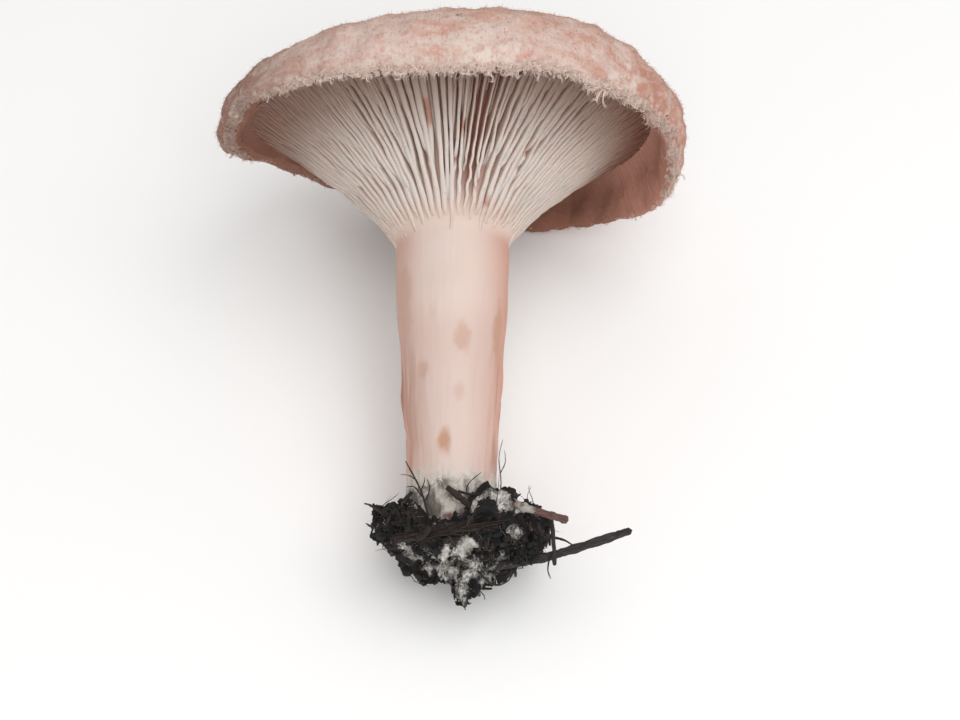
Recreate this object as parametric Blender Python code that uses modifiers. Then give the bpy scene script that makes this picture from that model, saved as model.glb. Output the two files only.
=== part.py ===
"""A woolly milkcap as picked. The fruit body lies on its side, resting on the rim of its cap and on
the clump of soil that its stem foot still holds, with twigs, roots and a strip of bark in the clump.

The pieces are made upright, with the stem along Z, the gills' lower ends close to Z = 0 and the side
that faces up in the end towards -Y. An empty then lays them down. Sizes here are in millimetres.
"""

import math
import random
from dataclasses import dataclass

import bmesh
import bpy
from mathutils import Matrix, Vector, noise

MM = 0.001

# How the mushroom lies: its stem rises by LEAN from the surface, and its own origin goes here
LEAN = math.radians(18.5)
UPRIGHT_ORIGIN = Vector((0.24, 16.1, 38.7))

# Cap: the dip in the middle, the crest of the rolled shoulder and the widest place
CAP_RADIUS = 51.6
CREST_RADIUS = 38.0
DIP_HEIGHT = 19.0
CREST_HEIGHT = 35.2
WIDEST_HEIGHT = 23.0
LIP_WIDTH = 5.6
LIP_DROP = 5.8

# Gills: their edges run from the lip down to the stem, and every second one ends half way
GILLS = 112
GILL_EDGE = 0.64
GILL_DEPTH = 3.6
GILL_HEAD_RADIUS = 44.0
GILL_HEAD_HEIGHT = 24.6
GILL_FOOT_HEIGHT = -3.0
GILL_CURVE = 0.75
GILL_RINGS_CROWD = 1.25
SHORT_GILL_FROM = 19.0
SHORT_GILL_FULL = 27.0

# A gill's depth grows over this share of its run from the stem, and drops again close to the lip
GILL_GROWS_OVER = 0.38
GILL_ENDS_OVER = 0.083
GILL_LEFT_AT_LIP = 0.35

# Stem and the foot that sits in the soil
STEM_TOP_RADIUS = 12.3
STEM_LOW_RADIUS = 9.4
STEM_TAPER_FROM = -6.0
STEM_TAPER_LENGTH = 52.0
FOOT_FROM = -63.0
FOOT_END = -76.0

# On its far left side the rim is less rolled in, so its lip is short, and it is smaller and higher
NOTCH_ANGLE = math.radians(-138)
NOTCH_WIDTH = math.radians(46)
NOTCH_DEPTH = 3.0
NOTCH_LIFT = 4.2
NOTCH_LIP_LOST = 0.85

# The rim's tilt to the right and to the far side, and its slow waves
TILT_RIGHT = 1.0
TILT_FAR = 1.0
WAVE = 0.5
WIDER_LEFT = 0.3

# Wool: tufts along the lip, and the lumps that they hang in
TUFT_SHORT = 0.3
TUFT_LONG = 2.6
TUFT_LUMPS = 1.3
TUFT_LEAN = 0.3
LUMP_GRAIN = 4.5
TIP_GRAIN = 0.73

# Small unevenness of the whole body, left out this close to its axis
BUMP_HEIGHT = 0.35
BUMP_GRAIN = 0.09
BUMP_FREE_RADIUS = 2.0

# Turned outline: columns round the cap and the stem, and how many each makes on lip and gills
COLUMNS = 56
SPLIT = 6
COLUMNS_PER_GILL = COLUMNS * SPLIT // GILLS
TOP_RINGS = 8
SHOULDER_RINGS = 5
LIP_RINGS = 3
GILL_RINGS = 9
STEM_RINGS = 8
FOOT_RINGS = 4

# Soil clump: half its size, its middle, its lumps and the crumbs that stick out of it
CLUMP_HALF = Vector((18.0, 18.4, 8.5))
CLUMP_MIDDLE = Vector((2.4, 0.4, -67.5))
CLUMP_LONGER = 0.5
CLUMP_TAPER = 0.4
CLUMP_LUMPS = 3.0
CLUMP_GRAIN = 0.14
CRUMBS = 30
CRUMB_SMALL = 2.0
CRUMB_LARGE = 4.4
CRUMB_SHAPE = Vector((1.0, 0.8, 0.7))
CRUMB_GRAIN = 0.35
CRUMB_OUT = 0.93
CRUMB_SEED = 11

# The soil's noise: how much of each layer's height the next, finer one keeps, how much finer, how many
NOISE_KEPT = 0.7
NOISE_FINER = 2.1
NOISE_LAYERS = 3

# The hollow in the clump's upper side, where the stem shows further down
SCOOP_MIDDLE = -2.0
SCOOP_HALF = 11.0
SCOOP_DEPTH = 7.5

# Room left round what stands in the soil, and the stem's socket, which opens a little upwards
GAP = 0.35
SOCKET_GAP = 0.6
SOCKET_FLARE = 1.0
SOCKET_ABOVE = 12.0

# What is stuck in the soil: each stick's points, foot first, its radius and the tip's share of it
LONG_TWIG = [(9.5, -4, -75.5), (21, -7, -74), (37.5, -10, -69.4)], 1.1, 0.8
RED_TWIG = [(9, -12, -63), (16, -13.5, -65.8), (24.2, -13.5, -68.3)], 1.15, 0.9
TWIG_STUB = [(9, -13, -69.5), (4.5, -13.2, -65.5), (-0.4, -12.6, -61.6)], 1.0, 0.9
LEFT_ROOT = [(-4.6, -12.5, -67), (-6.4, -11.5, -61), (-9.6, -8.5, -54)], 0.5, 0.6
RIGHT_ROOT = [(17, -6, -63), (20.5, -9, -67), (21.2, -9, -72), (21.4, -8, -76.5)], 0.55, 0.7
BARK_LINE = [(-12.5, -13, -72), (-6, -16.5, -72), (2, -18.2, -71), (11, -16, -69)]
BARK_WIDTH = 3.6
BARK_THICKNESS = 1.0

SKIN = (0.80, 0.60, 0.50, 1.0)
SOIL = (0.060, 0.048, 0.042, 1.0)
DARK_WOOD = (0.085, 0.060, 0.050, 1.0)
RED_WOOD = (0.230, 0.110, 0.085, 1.0)
BARK = (0.110, 0.075, 0.060, 1.0)


@dataclass
class Ring:
    """One ring of the fruit body's outline.

    gill is how deep the grooves are there, wool the share of the tufts' length, drop how far the lip
    hangs below the widest place, and rim how much the ring follows the rim's waves.
    """

    radius: float
    height: float
    gill: float = 0.0
    wool: float = 0.0
    drop: float = 0.0
    rim: float = 0.0


def smooth(share):
    """0 to 1 with a flat start and end."""
    share = min(1.0, max(0.0, share))
    return share * share * (3 - 2 * share)


def top_rings():
    """From the middle of the dip to the crest, a cosine rise."""
    for i in range(TOP_RINGS):
        radius = CREST_RADIUS * i / TOP_RINGS
        rise = (1 - math.cos(math.pi * radius / CREST_RADIUS)) / 2
        yield Ring(radius, DIP_HEIGHT + (CREST_HEIGHT - DIP_HEIGHT) * rise)


def shoulder_rings():
    """A quarter ellipse from the crest down to the widest place."""
    for i in range(SHOULDER_RINGS):
        turn = math.pi / 2 * i / SHOULDER_RINGS
        yield Ring(
            CREST_RADIUS + (CAP_RADIUS - CREST_RADIUS) * math.sin(turn),
            WIDEST_HEIGHT + (CREST_HEIGHT - WIDEST_HEIGHT) * math.cos(turn),
        )


def lip_rings():
    """A half ellipse under the widest place, round to the lip's inner side."""
    middle = CAP_RADIUS - LIP_WIDTH / 2
    for i in range(LIP_RINGS + 1):
        turn = math.pi * i / LIP_RINGS
        drop = LIP_DROP * math.sin(turn)
        yield Ring(
            middle + LIP_WIDTH / 2 * math.cos(turn), WIDEST_HEIGHT - drop, wool=math.sin(turn), drop=drop
        )


def gill_rings():
    """The gills' edges, from inside the lip down to the stem."""
    for i in range(GILL_RINGS):
        share = (1 - i / (GILL_RINGS - 1)) ** GILL_RINGS_CROWD
        radius = STEM_TOP_RADIUS + (GILL_HEAD_RADIUS - STEM_TOP_RADIUS) * share
        height = GILL_FOOT_HEIGHT + (GILL_HEAD_HEIGHT - GILL_FOOT_HEIGHT) * share**GILL_CURVE
        grown = smooth(share / GILL_GROWS_OVER) * smooth((1 - share) / GILL_ENDS_OVER + GILL_LEFT_AT_LIP)
        yield Ring(radius, height, gill=GILL_DEPTH * grown)


def stem_rings():
    """The stem, a little wider at the top, below the gills' ends."""
    for i in range(1, STEM_RINGS + 1):
        height = GILL_FOOT_HEIGHT + (FOOT_FROM - GILL_FOOT_HEIGHT) * i / STEM_RINGS
        yield Ring(stem_radius(height), height)


def foot_rings():
    """The rounded foot in the soil."""
    for i in range(1, FOOT_RINGS + 1):
        turn = math.pi / 2 * i / FOOT_RINGS
        yield Ring(
            STEM_LOW_RADIUS * math.cos(turn),
            FOOT_FROM + (FOOT_END - FOOT_FROM) * math.sin(turn),
        )


def stem_radius(height):
    """The stem's radius at a height below the gills."""
    taper = smooth((STEM_TAPER_FROM - height) / STEM_TAPER_LENGTH)
    return STEM_TOP_RADIUS - (STEM_TOP_RADIUS - STEM_LOW_RADIUS) * taper


def fruit_rings():
    """Every ring of the fruit body, from the dip over the rim and down to the foot."""
    rings = [*top_rings(), *shoulder_rings(), *lip_rings(), *gill_rings()]
    for ring in rings:
        ring.rim = smooth((ring.radius - STEM_TOP_RADIUS) / (CAP_RADIUS - STEM_TOP_RADIUS))
    return rings + [*stem_rings(), *foot_rings()]


def notch_share(angle):
    """How much of the notch there is at an angle, 0 at the upper side and 90 degrees at +X."""
    off = (angle - NOTCH_ANGLE + math.pi) % (2 * math.pi) - math.pi
    return math.exp(-((off / NOTCH_WIDTH) ** 2))


def rim_waves(angle):
    """(outward, upward) move of the rim at an angle: slow waves, a slight tilt and the notch."""
    notch = notch_share(angle)
    outward = WAVE * (math.cos(5 * angle + 2.3) - math.cos(6 * angle)) - WIDER_LEFT * math.sin(angle)
    upward = TILT_RIGHT * math.sin(angle) - TILT_FAR * math.cos(angle) + WAVE * math.sin(5 * angle + 0.4)
    return outward - NOTCH_DEPTH * notch, upward + NOTCH_LIFT * notch


def edit_mesh(mesh, change):
    """Runs a change on the mesh's vertices, edges and faces."""
    bm = bmesh.new()
    bm.from_mesh(mesh)
    change(bm)
    bm.to_mesh(mesh)
    bm.free()


def evaluated(obj):
    """A new mesh of the object with its modifiers applied."""
    graph = bpy.context.evaluated_depsgraph_get()
    return bpy.data.meshes.new_from_object(obj.evaluated_get(graph))


def welded(obj):
    """The object as a mesh with its seam or its loose end caps joined."""
    mesh = evaluated(obj)
    edit_mesh(mesh, lambda bm: bmesh.ops.remove_doubles(bm, verts=bm.verts, dist=0.001 * MM))
    return mesh


def placed(name, mesh, collection):
    """A new object with this mesh, in the collection."""
    obj = bpy.data.objects.new(name, mesh)
    collection.objects.link(obj)
    return obj


def turned(name, outline, collection):
    """An outline of (radius, height) turned round Z with a Screw modifier."""
    mesh = bpy.data.meshes.new(name)
    points = [(radius * MM, 0, height * MM) for radius, height in outline]
    mesh.from_pydata(points, [(i, i + 1) for i in range(len(points) - 1)], [])
    obj = placed(name, mesh, collection)
    screw = obj.modifiers.new("turn", "SCREW")
    screw.steps = screw.render_steps = COLUMNS
    screw.use_merge_vertices = True
    screw.merge_threshold = 0.001 * MM
    return obj


def ring_of(vert, rings):
    """Which ring a turned vertex is on."""
    radius, height = math.hypot(vert.co.x, vert.co.y) / MM, vert.co.z / MM
    gaps = [abs(ring.radius - radius) + abs(ring.height - height) for ring in rings]
    return gaps.index(min(gaps))


def tuft_length(column):
    """How far the wool reaches below the lip at a column: uneven tips on slow lumps."""
    turn = 2 * math.pi * column / (COLUMNS * SPLIT)
    lumps = noise.noise(Vector((math.cos(turn), math.sin(turn), 0)) * LUMP_GRAIN) * TUFT_LUMPS
    tip = smooth(0.5 + noise.noise(Vector((column * TIP_GRAIN, 0.5, 0.5))))
    return lumps + TUFT_SHORT + (TUFT_LONG - TUFT_SHORT) * tip * (column % 2)


def fruit_point(ring, slope, angle):
    """Where a vertex of a ring goes, with grooves between the gills, tufts and the rim's waves."""
    pitch = 2 * math.pi / GILLS
    column = round(angle / (2 * math.pi) * COLUMNS * SPLIT) % (COLUMNS * SPLIT)
    gill, side = divmod(column, COLUMNS_PER_GILL)
    radius, height = ring.radius, ring.height
    if ring.gill:
        middle = (gill + 0.5 / COLUMNS_PER_GILL) * pitch
        half = min(GILL_EDGE / 2 / radius, pitch / 5)
        angle = middle + (-half, half, pitch / 2)[side]
        short = gill % 2 == 1
        share = smooth((radius - SHORT_GILL_FROM) / (SHORT_GILL_FULL - SHORT_GILL_FROM))
        groove = 1.0 if side == 2 else (1 - share if short else 0.0)
        radius -= math.sin(slope) * ring.gill * groove
        height += math.cos(slope) * ring.gill * groove
    if ring.wool:
        length = tuft_length(column) * ring.wool
        radius += TUFT_LEAN * length * math.sin(column)
        height += ring.drop * NOTCH_LIP_LOST * notch_share(angle) - length
    outward, upward = rim_waves(angle)
    radius += outward * ring.rim
    height += upward * ring.rim
    return Vector((math.sin(angle) * radius, -math.cos(angle) * radius, height)) * MM


def stem_bend(point):
    """The stem's slight bend and the small unevenness of the whole body."""
    bumps = noise.noise(point / MM * BUMP_GRAIN) * BUMP_HEIGHT * MM
    side = Vector((point.x, point.y, 0))
    if side.length < BUMP_FREE_RADIUS * MM:
        return point
    return point + side.normalized() * bumps


def resting_plane():
    """(point, normal) of the surface it lies on, in the upright frame. The normal points down."""
    back = laid_down().inverted()
    return back @ Vector((0, 0, 0)), (back.to_3x3() @ Vector((0, 0, -1))).normalized()


def laid_down():
    """The move from upright to lying: the stem along +Y and rising, -Y turned to the top."""
    turn = Matrix.Rotation(LEAN - math.pi / 2, 4, "X")
    return Matrix.Translation(UPRIGHT_ORIGIN * MM) @ turn


def press_flat(bm):
    """Cuts off what would reach below the surface, and closes the flat spot."""
    point, down = resting_plane()
    everything = bm.verts[:] + bm.edges[:] + bm.faces[:]
    cut = bmesh.ops.bisect_plane(
        bm, geom=everything, dist=1e-6, plane_co=point, plane_no=down, clear_outer=True
    )
    open_edges = [e for e in cut["geom_cut"] if isinstance(e, bmesh.types.BMEdge) and e.is_boundary]
    bmesh.ops.triangle_fill(bm, edges=open_edges, use_beauty=True, use_dissolve=False, normal=down)


def fruit_body(parts):
    """Cap, gills and stem: one piece, as it grew."""
    rings = fruit_rings()
    start = turned("outline", [(ring.radius, ring.height) for ring in rings], parts)
    mesh = welded(start)
    bpy.data.objects.remove(start)
    bm = bmesh.new()
    bm.from_mesh(mesh)
    layer = bm.verts.layers.float.new("ring")
    for vert in bm.verts:
        vert[layer] = ring_of(vert, rings)
    first = TOP_RINGS + SHOULDER_RINGS
    last = first + LIP_RINGS + GILL_RINGS
    split = [
        edge
        for edge in bm.edges
        if edge.verts[0][layer] == edge.verts[1][layer] and first < edge.verts[0][layer] <= last
    ]
    bmesh.ops.subdivide_edges(bm, edges=split, cuts=SPLIT - 1, use_grid_fill=True)
    for vert in bm.verts:
        i = round(vert[layer])
        if math.hypot(vert.co.x, vert.co.y) < 0.01 * MM:
            continue
        before, after = rings[max(i - 1, 0)], rings[min(i + 1, len(rings) - 1)]
        slope = math.atan2(before.height - after.height, before.radius - after.radius)
        angle = math.atan2(vert.co.x, -vert.co.y) % (2 * math.pi)
        vert.co = stem_bend(fruit_point(rings[i], slope, angle))
    press_flat(bm)
    bmesh.ops.recalc_face_normals(bm, faces=bm.faces)
    bm.to_mesh(mesh)
    bm.free()
    body = placed("fruit_body", mesh, parts)
    return finished(body, "mushroom_skin", SKIN, 0.6)


def crumb_places():
    """(direction, size) of each crumb: an even spiral over the clump, with seeded sizes."""
    draw = random.Random(CRUMB_SEED)
    golden = math.pi * (3 - math.sqrt(5))
    for i in range(CRUMBS):
        level = 1 - 2 * (i + 0.5) / CRUMBS
        across = math.sqrt(1 - level * level)
        turn = golden * i + draw.uniform(-0.3, 0.3)
        size = draw.uniform(CRUMB_SMALL, CRUMB_LARGE)
        yield Vector((across * math.cos(turn), across * math.sin(turn), level)), size


def lump(name, middle, half, rough, grain, level, collection):
    """A ball of soil: an icosphere scaled to half its size each way and pushed about by noise."""
    bpy.ops.mesh.primitive_ico_sphere_add(subdivisions=level, radius=1)
    obj = bpy.context.object
    obj.name = name
    for owner in list(obj.users_collection):
        owner.objects.unlink(obj)
    collection.objects.link(obj)
    for vert in obj.data.vertices:
        out = vert.co.copy()
        place = middle + Vector(out * side for out, side in zip(out, half))
        push = noise.fractal(
            place * grain, NOISE_KEPT, NOISE_FINER, NOISE_LAYERS, noise_basis="PERLIN_ORIGINAL"
        )
        vert.co = (place + out * push * rough) * MM
    return obj


def clump_shape(point):
    """The clump is drawn out and narrower towards the foot's end, and scooped on its upper side."""
    off = point - CLUMP_MIDDLE
    down = min(1.0, max(0.0, -off.z / CLUMP_HALF.z))
    side = 1 - CLUMP_TAPER * smooth(down)
    across = smooth(1 - abs(point.x - SCOOP_MIDDLE) / SCOOP_HALF)
    towards = smooth(-off.y / CLUMP_HALF.y) * smooth(0.5 + off.z / CLUMP_HALF.z)
    height = off.z * (1 + CLUMP_LONGER * down) - SCOOP_DEPTH * across * towards
    return CLUMP_MIDDLE + Vector((off.x * side, off.y * side, height))


def combine(obj, others, operation, solver):
    """Joins a collection's objects to the object or cuts them out of it, and removes them."""
    change = obj.modifiers.new("combine", "BOOLEAN")
    change.operation = operation
    change.operand_type = "COLLECTION"
    change.collection = others
    change.solver = solver
    mesh = evaluated(obj)
    obj.modifiers.remove(change)
    obj.data = mesh
    for other in list(others.objects):
        bpy.data.objects.remove(other)
    bpy.data.collections.remove(others)


def reached_from(start):
    """Every vertex joined to the start by edges."""
    found, edge = {start}, [start]
    while edge:
        near = [e.other_vert(vert) for vert in edge for e in vert.link_edges]
        edge = [vert for vert in dict.fromkeys(near) if vert not in found]
        found.update(edge)
    return found


def drop_scraps(bm):
    """Keeps the largest body and deletes the loose crumbs' tips that a cut has left."""
    left, bodies = set(bm.verts), []
    while left:
        bodies.append(reached_from(next(iter(left))))
        left -= bodies[-1]
    kept = max(bodies, key=len)
    bmesh.ops.delete(bm, geom=[vert for vert in bm.verts if vert not in kept], context="VERTS")


def soil_clump(parts, cutters):
    """Soil and litter bound by the fungus: one lumpy mass with crumbs fused to it."""
    crumbs = new_collection("crumbs")
    clump = lump("soil_clump", CLUMP_MIDDLE, CLUMP_HALF, CLUMP_LUMPS, CLUMP_GRAIN, 4, parts)
    for vert in clump.data.vertices:
        vert.co = clump_shape(vert.co / MM) * MM
    for i, (way, size) in enumerate(crumb_places()):
        middle = clump_shape(CLUMP_MIDDLE + Vector(w * h for w, h in zip(way, CLUMP_HALF)) * CRUMB_OUT)
        lump(f"crumb_{i}", middle, CRUMB_SHAPE * size, size / 2, CRUMB_GRAIN, 2, crumbs)
    combine(clump, crumbs, "UNION", "MANIFOLD")
    edit_mesh(clump.data, press_flat)
    turned("stem_socket", socket_outline(), cutters)
    combine(clump, cutters, "DIFFERENCE", "MANIFOLD")
    edit_mesh(clump.data, drop_scraps)
    return finished(clump, "soil", SOIL, 0.95)


def socket_outline():
    """The stem's lower end, grown by the gap, and open above the soil."""
    above = CLUMP_MIDDLE.z + CLUMP_HALF.z + SOCKET_ABOVE
    yield 0, above
    yield STEM_LOW_RADIUS + SOCKET_GAP + SOCKET_FLARE, above
    yield STEM_LOW_RADIUS + SOCKET_GAP, FOOT_FROM
    for ring in foot_rings():
        grown = ring.radius + SOCKET_GAP if ring.radius > 0.01 else 0
        yield grown, ring.height - SOCKET_GAP


def rod(name, points, radius, tip, collection, sides=2):
    """A curve through the points, with round sides, that narrows to the tip's share of its radius."""
    curve = bpy.data.curves.new(name, "CURVE")
    curve.dimensions = "3D"
    curve.bevel_depth = radius * MM
    curve.bevel_resolution = sides
    curve.use_fill_caps = True
    spline = curve.splines.new("POLY")
    spline.points.add(len(points) - 1)
    for i, (spot, point) in enumerate(zip(spline.points, points)):
        spot.co = (*(Vector(point) * MM), 1)
        spot.radius = 1 + (tip - 1) * i / (len(points) - 1)
    obj = placed(name, curve, collection)
    mesh = welded(obj)
    bpy.data.objects.remove(obj)
    return placed(name, mesh, collection)


def strip(name, points, width, thickness, collection):
    """A flat ribbon along a curve, on edge, with rounded edges and closed ends."""
    curve = bpy.data.curves.new(name, "CURVE")
    curve.dimensions = "3D"
    curve.extrude = (width - thickness) / 2 * MM
    curve.twist_mode = "Z_UP"
    curve.bevel_depth = thickness / 2 * MM
    curve.bevel_resolution = 1
    curve.use_fill_caps = True
    spline = curve.splines.new("POLY")
    spline.points.add(len(points) - 1)
    for spot, point in zip(spline.points, points):
        spot.co = (*(point * MM), 1)
    obj = placed(name, curve, collection)
    mesh = welded(obj)
    bpy.data.objects.remove(obj)
    return placed(name, mesh, collection)


def along(points, count):
    """The count points of a smooth line through the given ones."""
    spots = [Vector(p) for p in points]
    spots = [2 * spots[0] - spots[1], *spots, 2 * spots[-1] - spots[-2]]
    spans = len(spots) - 3
    for i in range(count):
        place = spans * i / (count - 1)
        k = min(int(place), spans - 1)
        t = place - k
        a, b, c, d = spots[k : k + 4]
        yield (
            2 * b + (c - a) * t + (2 * a - 5 * b + 4 * c - d) * t**2 + (3 * b - a - 3 * c + d) * t**3
        ) / 2


def stick(name, points, radius, tip, colour, parts, cutters):
    """A twig or root that stands in a hole of its own in the soil."""
    line = list(along(points, 3 * len(points)))
    rod(name + "_hole", line, radius + GAP, (radius * tip + GAP) / (radius + GAP), cutters)
    wood = rod(name, line, radius, tip, parts)
    return finished(wood, name + "_wood", colour, 0.8)


def bark_strip(parts, cutters):
    """A strip of rotten bark across the upper side of the clump, half sunk into a groove."""
    line = list(along(BARK_LINE, 4 * len(BARK_LINE)))
    strip("bark_groove", line, BARK_WIDTH + 2 * GAP, BARK_THICKNESS + 2 * GAP, cutters)
    bark = strip("bark_strip", line, BARK_WIDTH, BARK_THICKNESS, parts)
    return finished(bark, "rotten_bark", BARK, 0.9)


def finished(obj, material_name, colour, roughness):
    """Smooth shading with sharp creases, and the piece's own material."""
    material = bpy.data.materials.new(material_name)
    material.use_nodes = True
    shader = material.node_tree.nodes["Principled BSDF"]
    shader.inputs["Base Color"].default_value = colour
    shader.inputs["Roughness"].default_value = roughness
    obj.data.materials.clear()
    obj.data.materials.append(material)
    obj.data.shade_smooth()
    obj.data.set_sharp_from_angle(angle=math.radians(40))
    return obj


def new_collection(name):
    """A collection linked to the scene."""
    collection = bpy.data.collections.new(name)
    bpy.context.scene.collection.children.link(collection)
    return collection


def main():
    """Builds every piece upright, then lays them down together."""
    for obj in list(bpy.data.objects):
        bpy.data.objects.remove(obj)
    parts = new_collection("woolly_milkcap")
    cutters = new_collection("cutters")
    fruit_body(parts)
    stick("twig_long", *LONG_TWIG, DARK_WOOD, parts, cutters)
    stick("twig_red", *RED_TWIG, RED_WOOD, parts, cutters)
    stick("twig_stub", *TWIG_STUB, BARK, parts, cutters)
    stick("root_left", *LEFT_ROOT, DARK_WOOD, parts, cutters)
    stick("root_right", *RIGHT_ROOT, DARK_WOOD, parts, cutters)
    bark_strip(parts, cutters)
    soil_clump(parts, cutters)
    laying = bpy.data.objects.new("laying", None)
    parts.objects.link(laying)
    laying.matrix_world = laid_down()
    for obj in parts.objects:
        if obj is not laying:
            obj.parent = laying


main()
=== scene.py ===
"""A woolly milkcap as picked, lying on its side with the soil still on its foot.

Every piece is worked out upright and in millimetres, with the stem along Z, the gills' lower ends
near Z = 0 and the side that faces the viewer towards -Y. Lying then lays it down, in metres.
"""

import logging
import math
from dataclasses import dataclass, field
from enum import Enum
from typing import Iterator

import bpy
import numpy as np
from mathutils import Euler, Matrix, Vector, noise


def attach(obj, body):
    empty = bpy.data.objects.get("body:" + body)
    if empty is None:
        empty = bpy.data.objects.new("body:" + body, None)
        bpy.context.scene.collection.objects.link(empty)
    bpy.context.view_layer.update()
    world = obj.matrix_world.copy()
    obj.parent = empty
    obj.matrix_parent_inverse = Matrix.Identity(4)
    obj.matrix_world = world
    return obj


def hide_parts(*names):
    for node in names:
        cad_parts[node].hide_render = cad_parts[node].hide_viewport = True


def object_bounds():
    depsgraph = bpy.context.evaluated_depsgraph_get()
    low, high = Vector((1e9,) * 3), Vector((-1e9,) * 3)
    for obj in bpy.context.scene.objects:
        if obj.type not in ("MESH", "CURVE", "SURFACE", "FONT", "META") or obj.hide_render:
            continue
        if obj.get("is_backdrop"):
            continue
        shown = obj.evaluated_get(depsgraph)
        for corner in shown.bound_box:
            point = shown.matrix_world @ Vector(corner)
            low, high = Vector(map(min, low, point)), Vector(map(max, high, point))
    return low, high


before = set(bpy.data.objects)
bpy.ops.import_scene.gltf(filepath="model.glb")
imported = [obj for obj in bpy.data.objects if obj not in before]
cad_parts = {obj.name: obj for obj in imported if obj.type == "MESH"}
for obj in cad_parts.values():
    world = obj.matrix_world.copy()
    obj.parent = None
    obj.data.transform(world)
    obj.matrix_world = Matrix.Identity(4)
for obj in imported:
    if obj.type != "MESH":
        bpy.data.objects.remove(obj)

LOG = logging.getLogger("milkcap")
MM = 0.001
RING_PITCH = 7.0

Colour = tuple[float, float, float]


def paint(red: int, green: int, blue: int) -> Colour:
    """A colour as it looks on a screen, 0 to 255, turned into the light it stands for."""
    return tuple((channel / 255) ** 2.2 for channel in (red, green, blue))


def smooth(share: np.ndarray | float) -> np.ndarray | float:
    """0 to 1 with a flat start and end."""
    share = np.clip(share, 0.0, 1.0)
    return share * share * (3 - 2 * share)


def hills(
    points: np.ndarray, grain: float, octaves: int = 3, shift: float = 0.0, gain: float = 0.8
) -> np.ndarray:
    """Cloudy noise at every point.

    Args:
        points: places in millimetres, one row each.
        grain: hills per millimetre.
        octaves: how many finer layers are added.
        shift: moves the pattern, so that two patterns differ.
        gain: how fast the finer layers get weaker.

    Returns:
        About -1 to 1 for each point.
    """
    flat = points.reshape(-1, 3) * grain + shift
    finer = 2.1
    found = [noise.fractal(Vector(row), gain, finer, octaves, noise_basis="PERLIN_ORIGINAL") for row in flat]
    return np.array(found).reshape(points.shape[:-1])


def unit(vectors: np.ndarray) -> np.ndarray:
    """The vectors at length 1."""
    return vectors / np.maximum(np.linalg.norm(vectors, axis=-1, keepdims=True), 1e-9)


def off_by(angle: np.ndarray, middle: float) -> np.ndarray:
    """How many degrees, -180 to 180, an angle in radians lies past a middle in degrees."""
    return (np.degrees(angle) - middle + 180) % 360 - 180


def bell(off: np.ndarray, half: float) -> np.ndarray:
    """1 where off is 0, and falling away on both sides."""
    return np.exp(-((off / half) ** 2))


def spun(angle: np.ndarray, radius: np.ndarray | float, height: np.ndarray | float) -> np.ndarray:
    """Points round Z at a radius and height: angle 0 faces the viewer and 90 degrees is at +X."""
    parts = np.broadcast_arrays(np.sin(angle) * radius, -np.cos(angle) * radius, height)
    return np.stack(parts, axis=-1)


def angle_of(points: np.ndarray) -> np.ndarray:
    """The angle round Z at which each point lies."""
    return np.arctan2(points[..., 0], -points[..., 1])


def steps(rings: int) -> np.ndarray:
    """0 to 1 in as many steps as a thread has rings, shaped to multiply rows of points."""
    return np.linspace(0, 1, rings + 1)[None, :, None]


@dataclass(frozen=True)
class Lying:
    """How the upright mushroom lies: its stem rises by lean from the surface.

    The numbers are those of the solids that this dresses.
    """

    lean: float = math.radians(18.5)
    origin: tuple[float, float, float] = (0.24, 16.1, 38.7)

    def turn(self) -> np.ndarray:
        """The 3 by 3 turn from upright to lying."""
        angle = self.lean - math.pi / 2
        cosine, sine = math.cos(angle), math.sin(angle)
        return np.array([[1, 0, 0], [0, cosine, -sine], [0, sine, cosine]])

    def place(self, points: np.ndarray) -> np.ndarray:
        """Lays points down, in metres, and presses what is lowest flat on the surface."""
        laid = (points @ self.turn().T + self.origin) * MM
        laid[..., 2] = np.maximum(laid[..., 2], 0.0)
        return laid

    def direction(self, upright: tuple[float, float, float]) -> Vector:
        """An upright direction as it points once laid down."""
        return Vector(self.turn() @ np.array(upright))


LYING = Lying()


@dataclass
class Stock:
    """Points in millimetres, faces by their number of corners, and marks for the finishes."""

    points: np.ndarray
    faces: dict[int, np.ndarray]
    marks: dict[str, np.ndarray] = field(default_factory=dict)

    def volume(self) -> float:
        """Six times the enclosed volume, negative where the faces point inwards."""
        total = 0.0
        for corners in self.faces.values():
            spots = self.points[corners]
            for i in range(1, corners.shape[1] - 1):
                total += np.einsum("ij,ij->i", spots[:, 0], np.cross(spots[:, i], spots[:, i + 1])).sum()
        return total

    def triangles(self) -> int:
        """How many triangles the faces make."""
        return sum(len(corners) * (count - 2) for count, corners in self.faces.items())


def joined(stocks: list[Stock]) -> Stock:
    """Several stocks with the same marks as one."""
    starts = np.cumsum([0] + [len(stock.points) for stock in stocks[:-1]])
    sizes = sorted({size for stock in stocks for size in stock.faces})
    faces = {
        size: np.concatenate([s.faces[size] + start for s, start in zip(stocks, starts) if size in s.faces])
        for size in sizes
    }
    marks = {name: np.concatenate([stock.marks[name] for stock in stocks]) for name in stocks[0].marks}
    return Stock(np.concatenate([stock.points for stock in stocks]), faces, marks)


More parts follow.
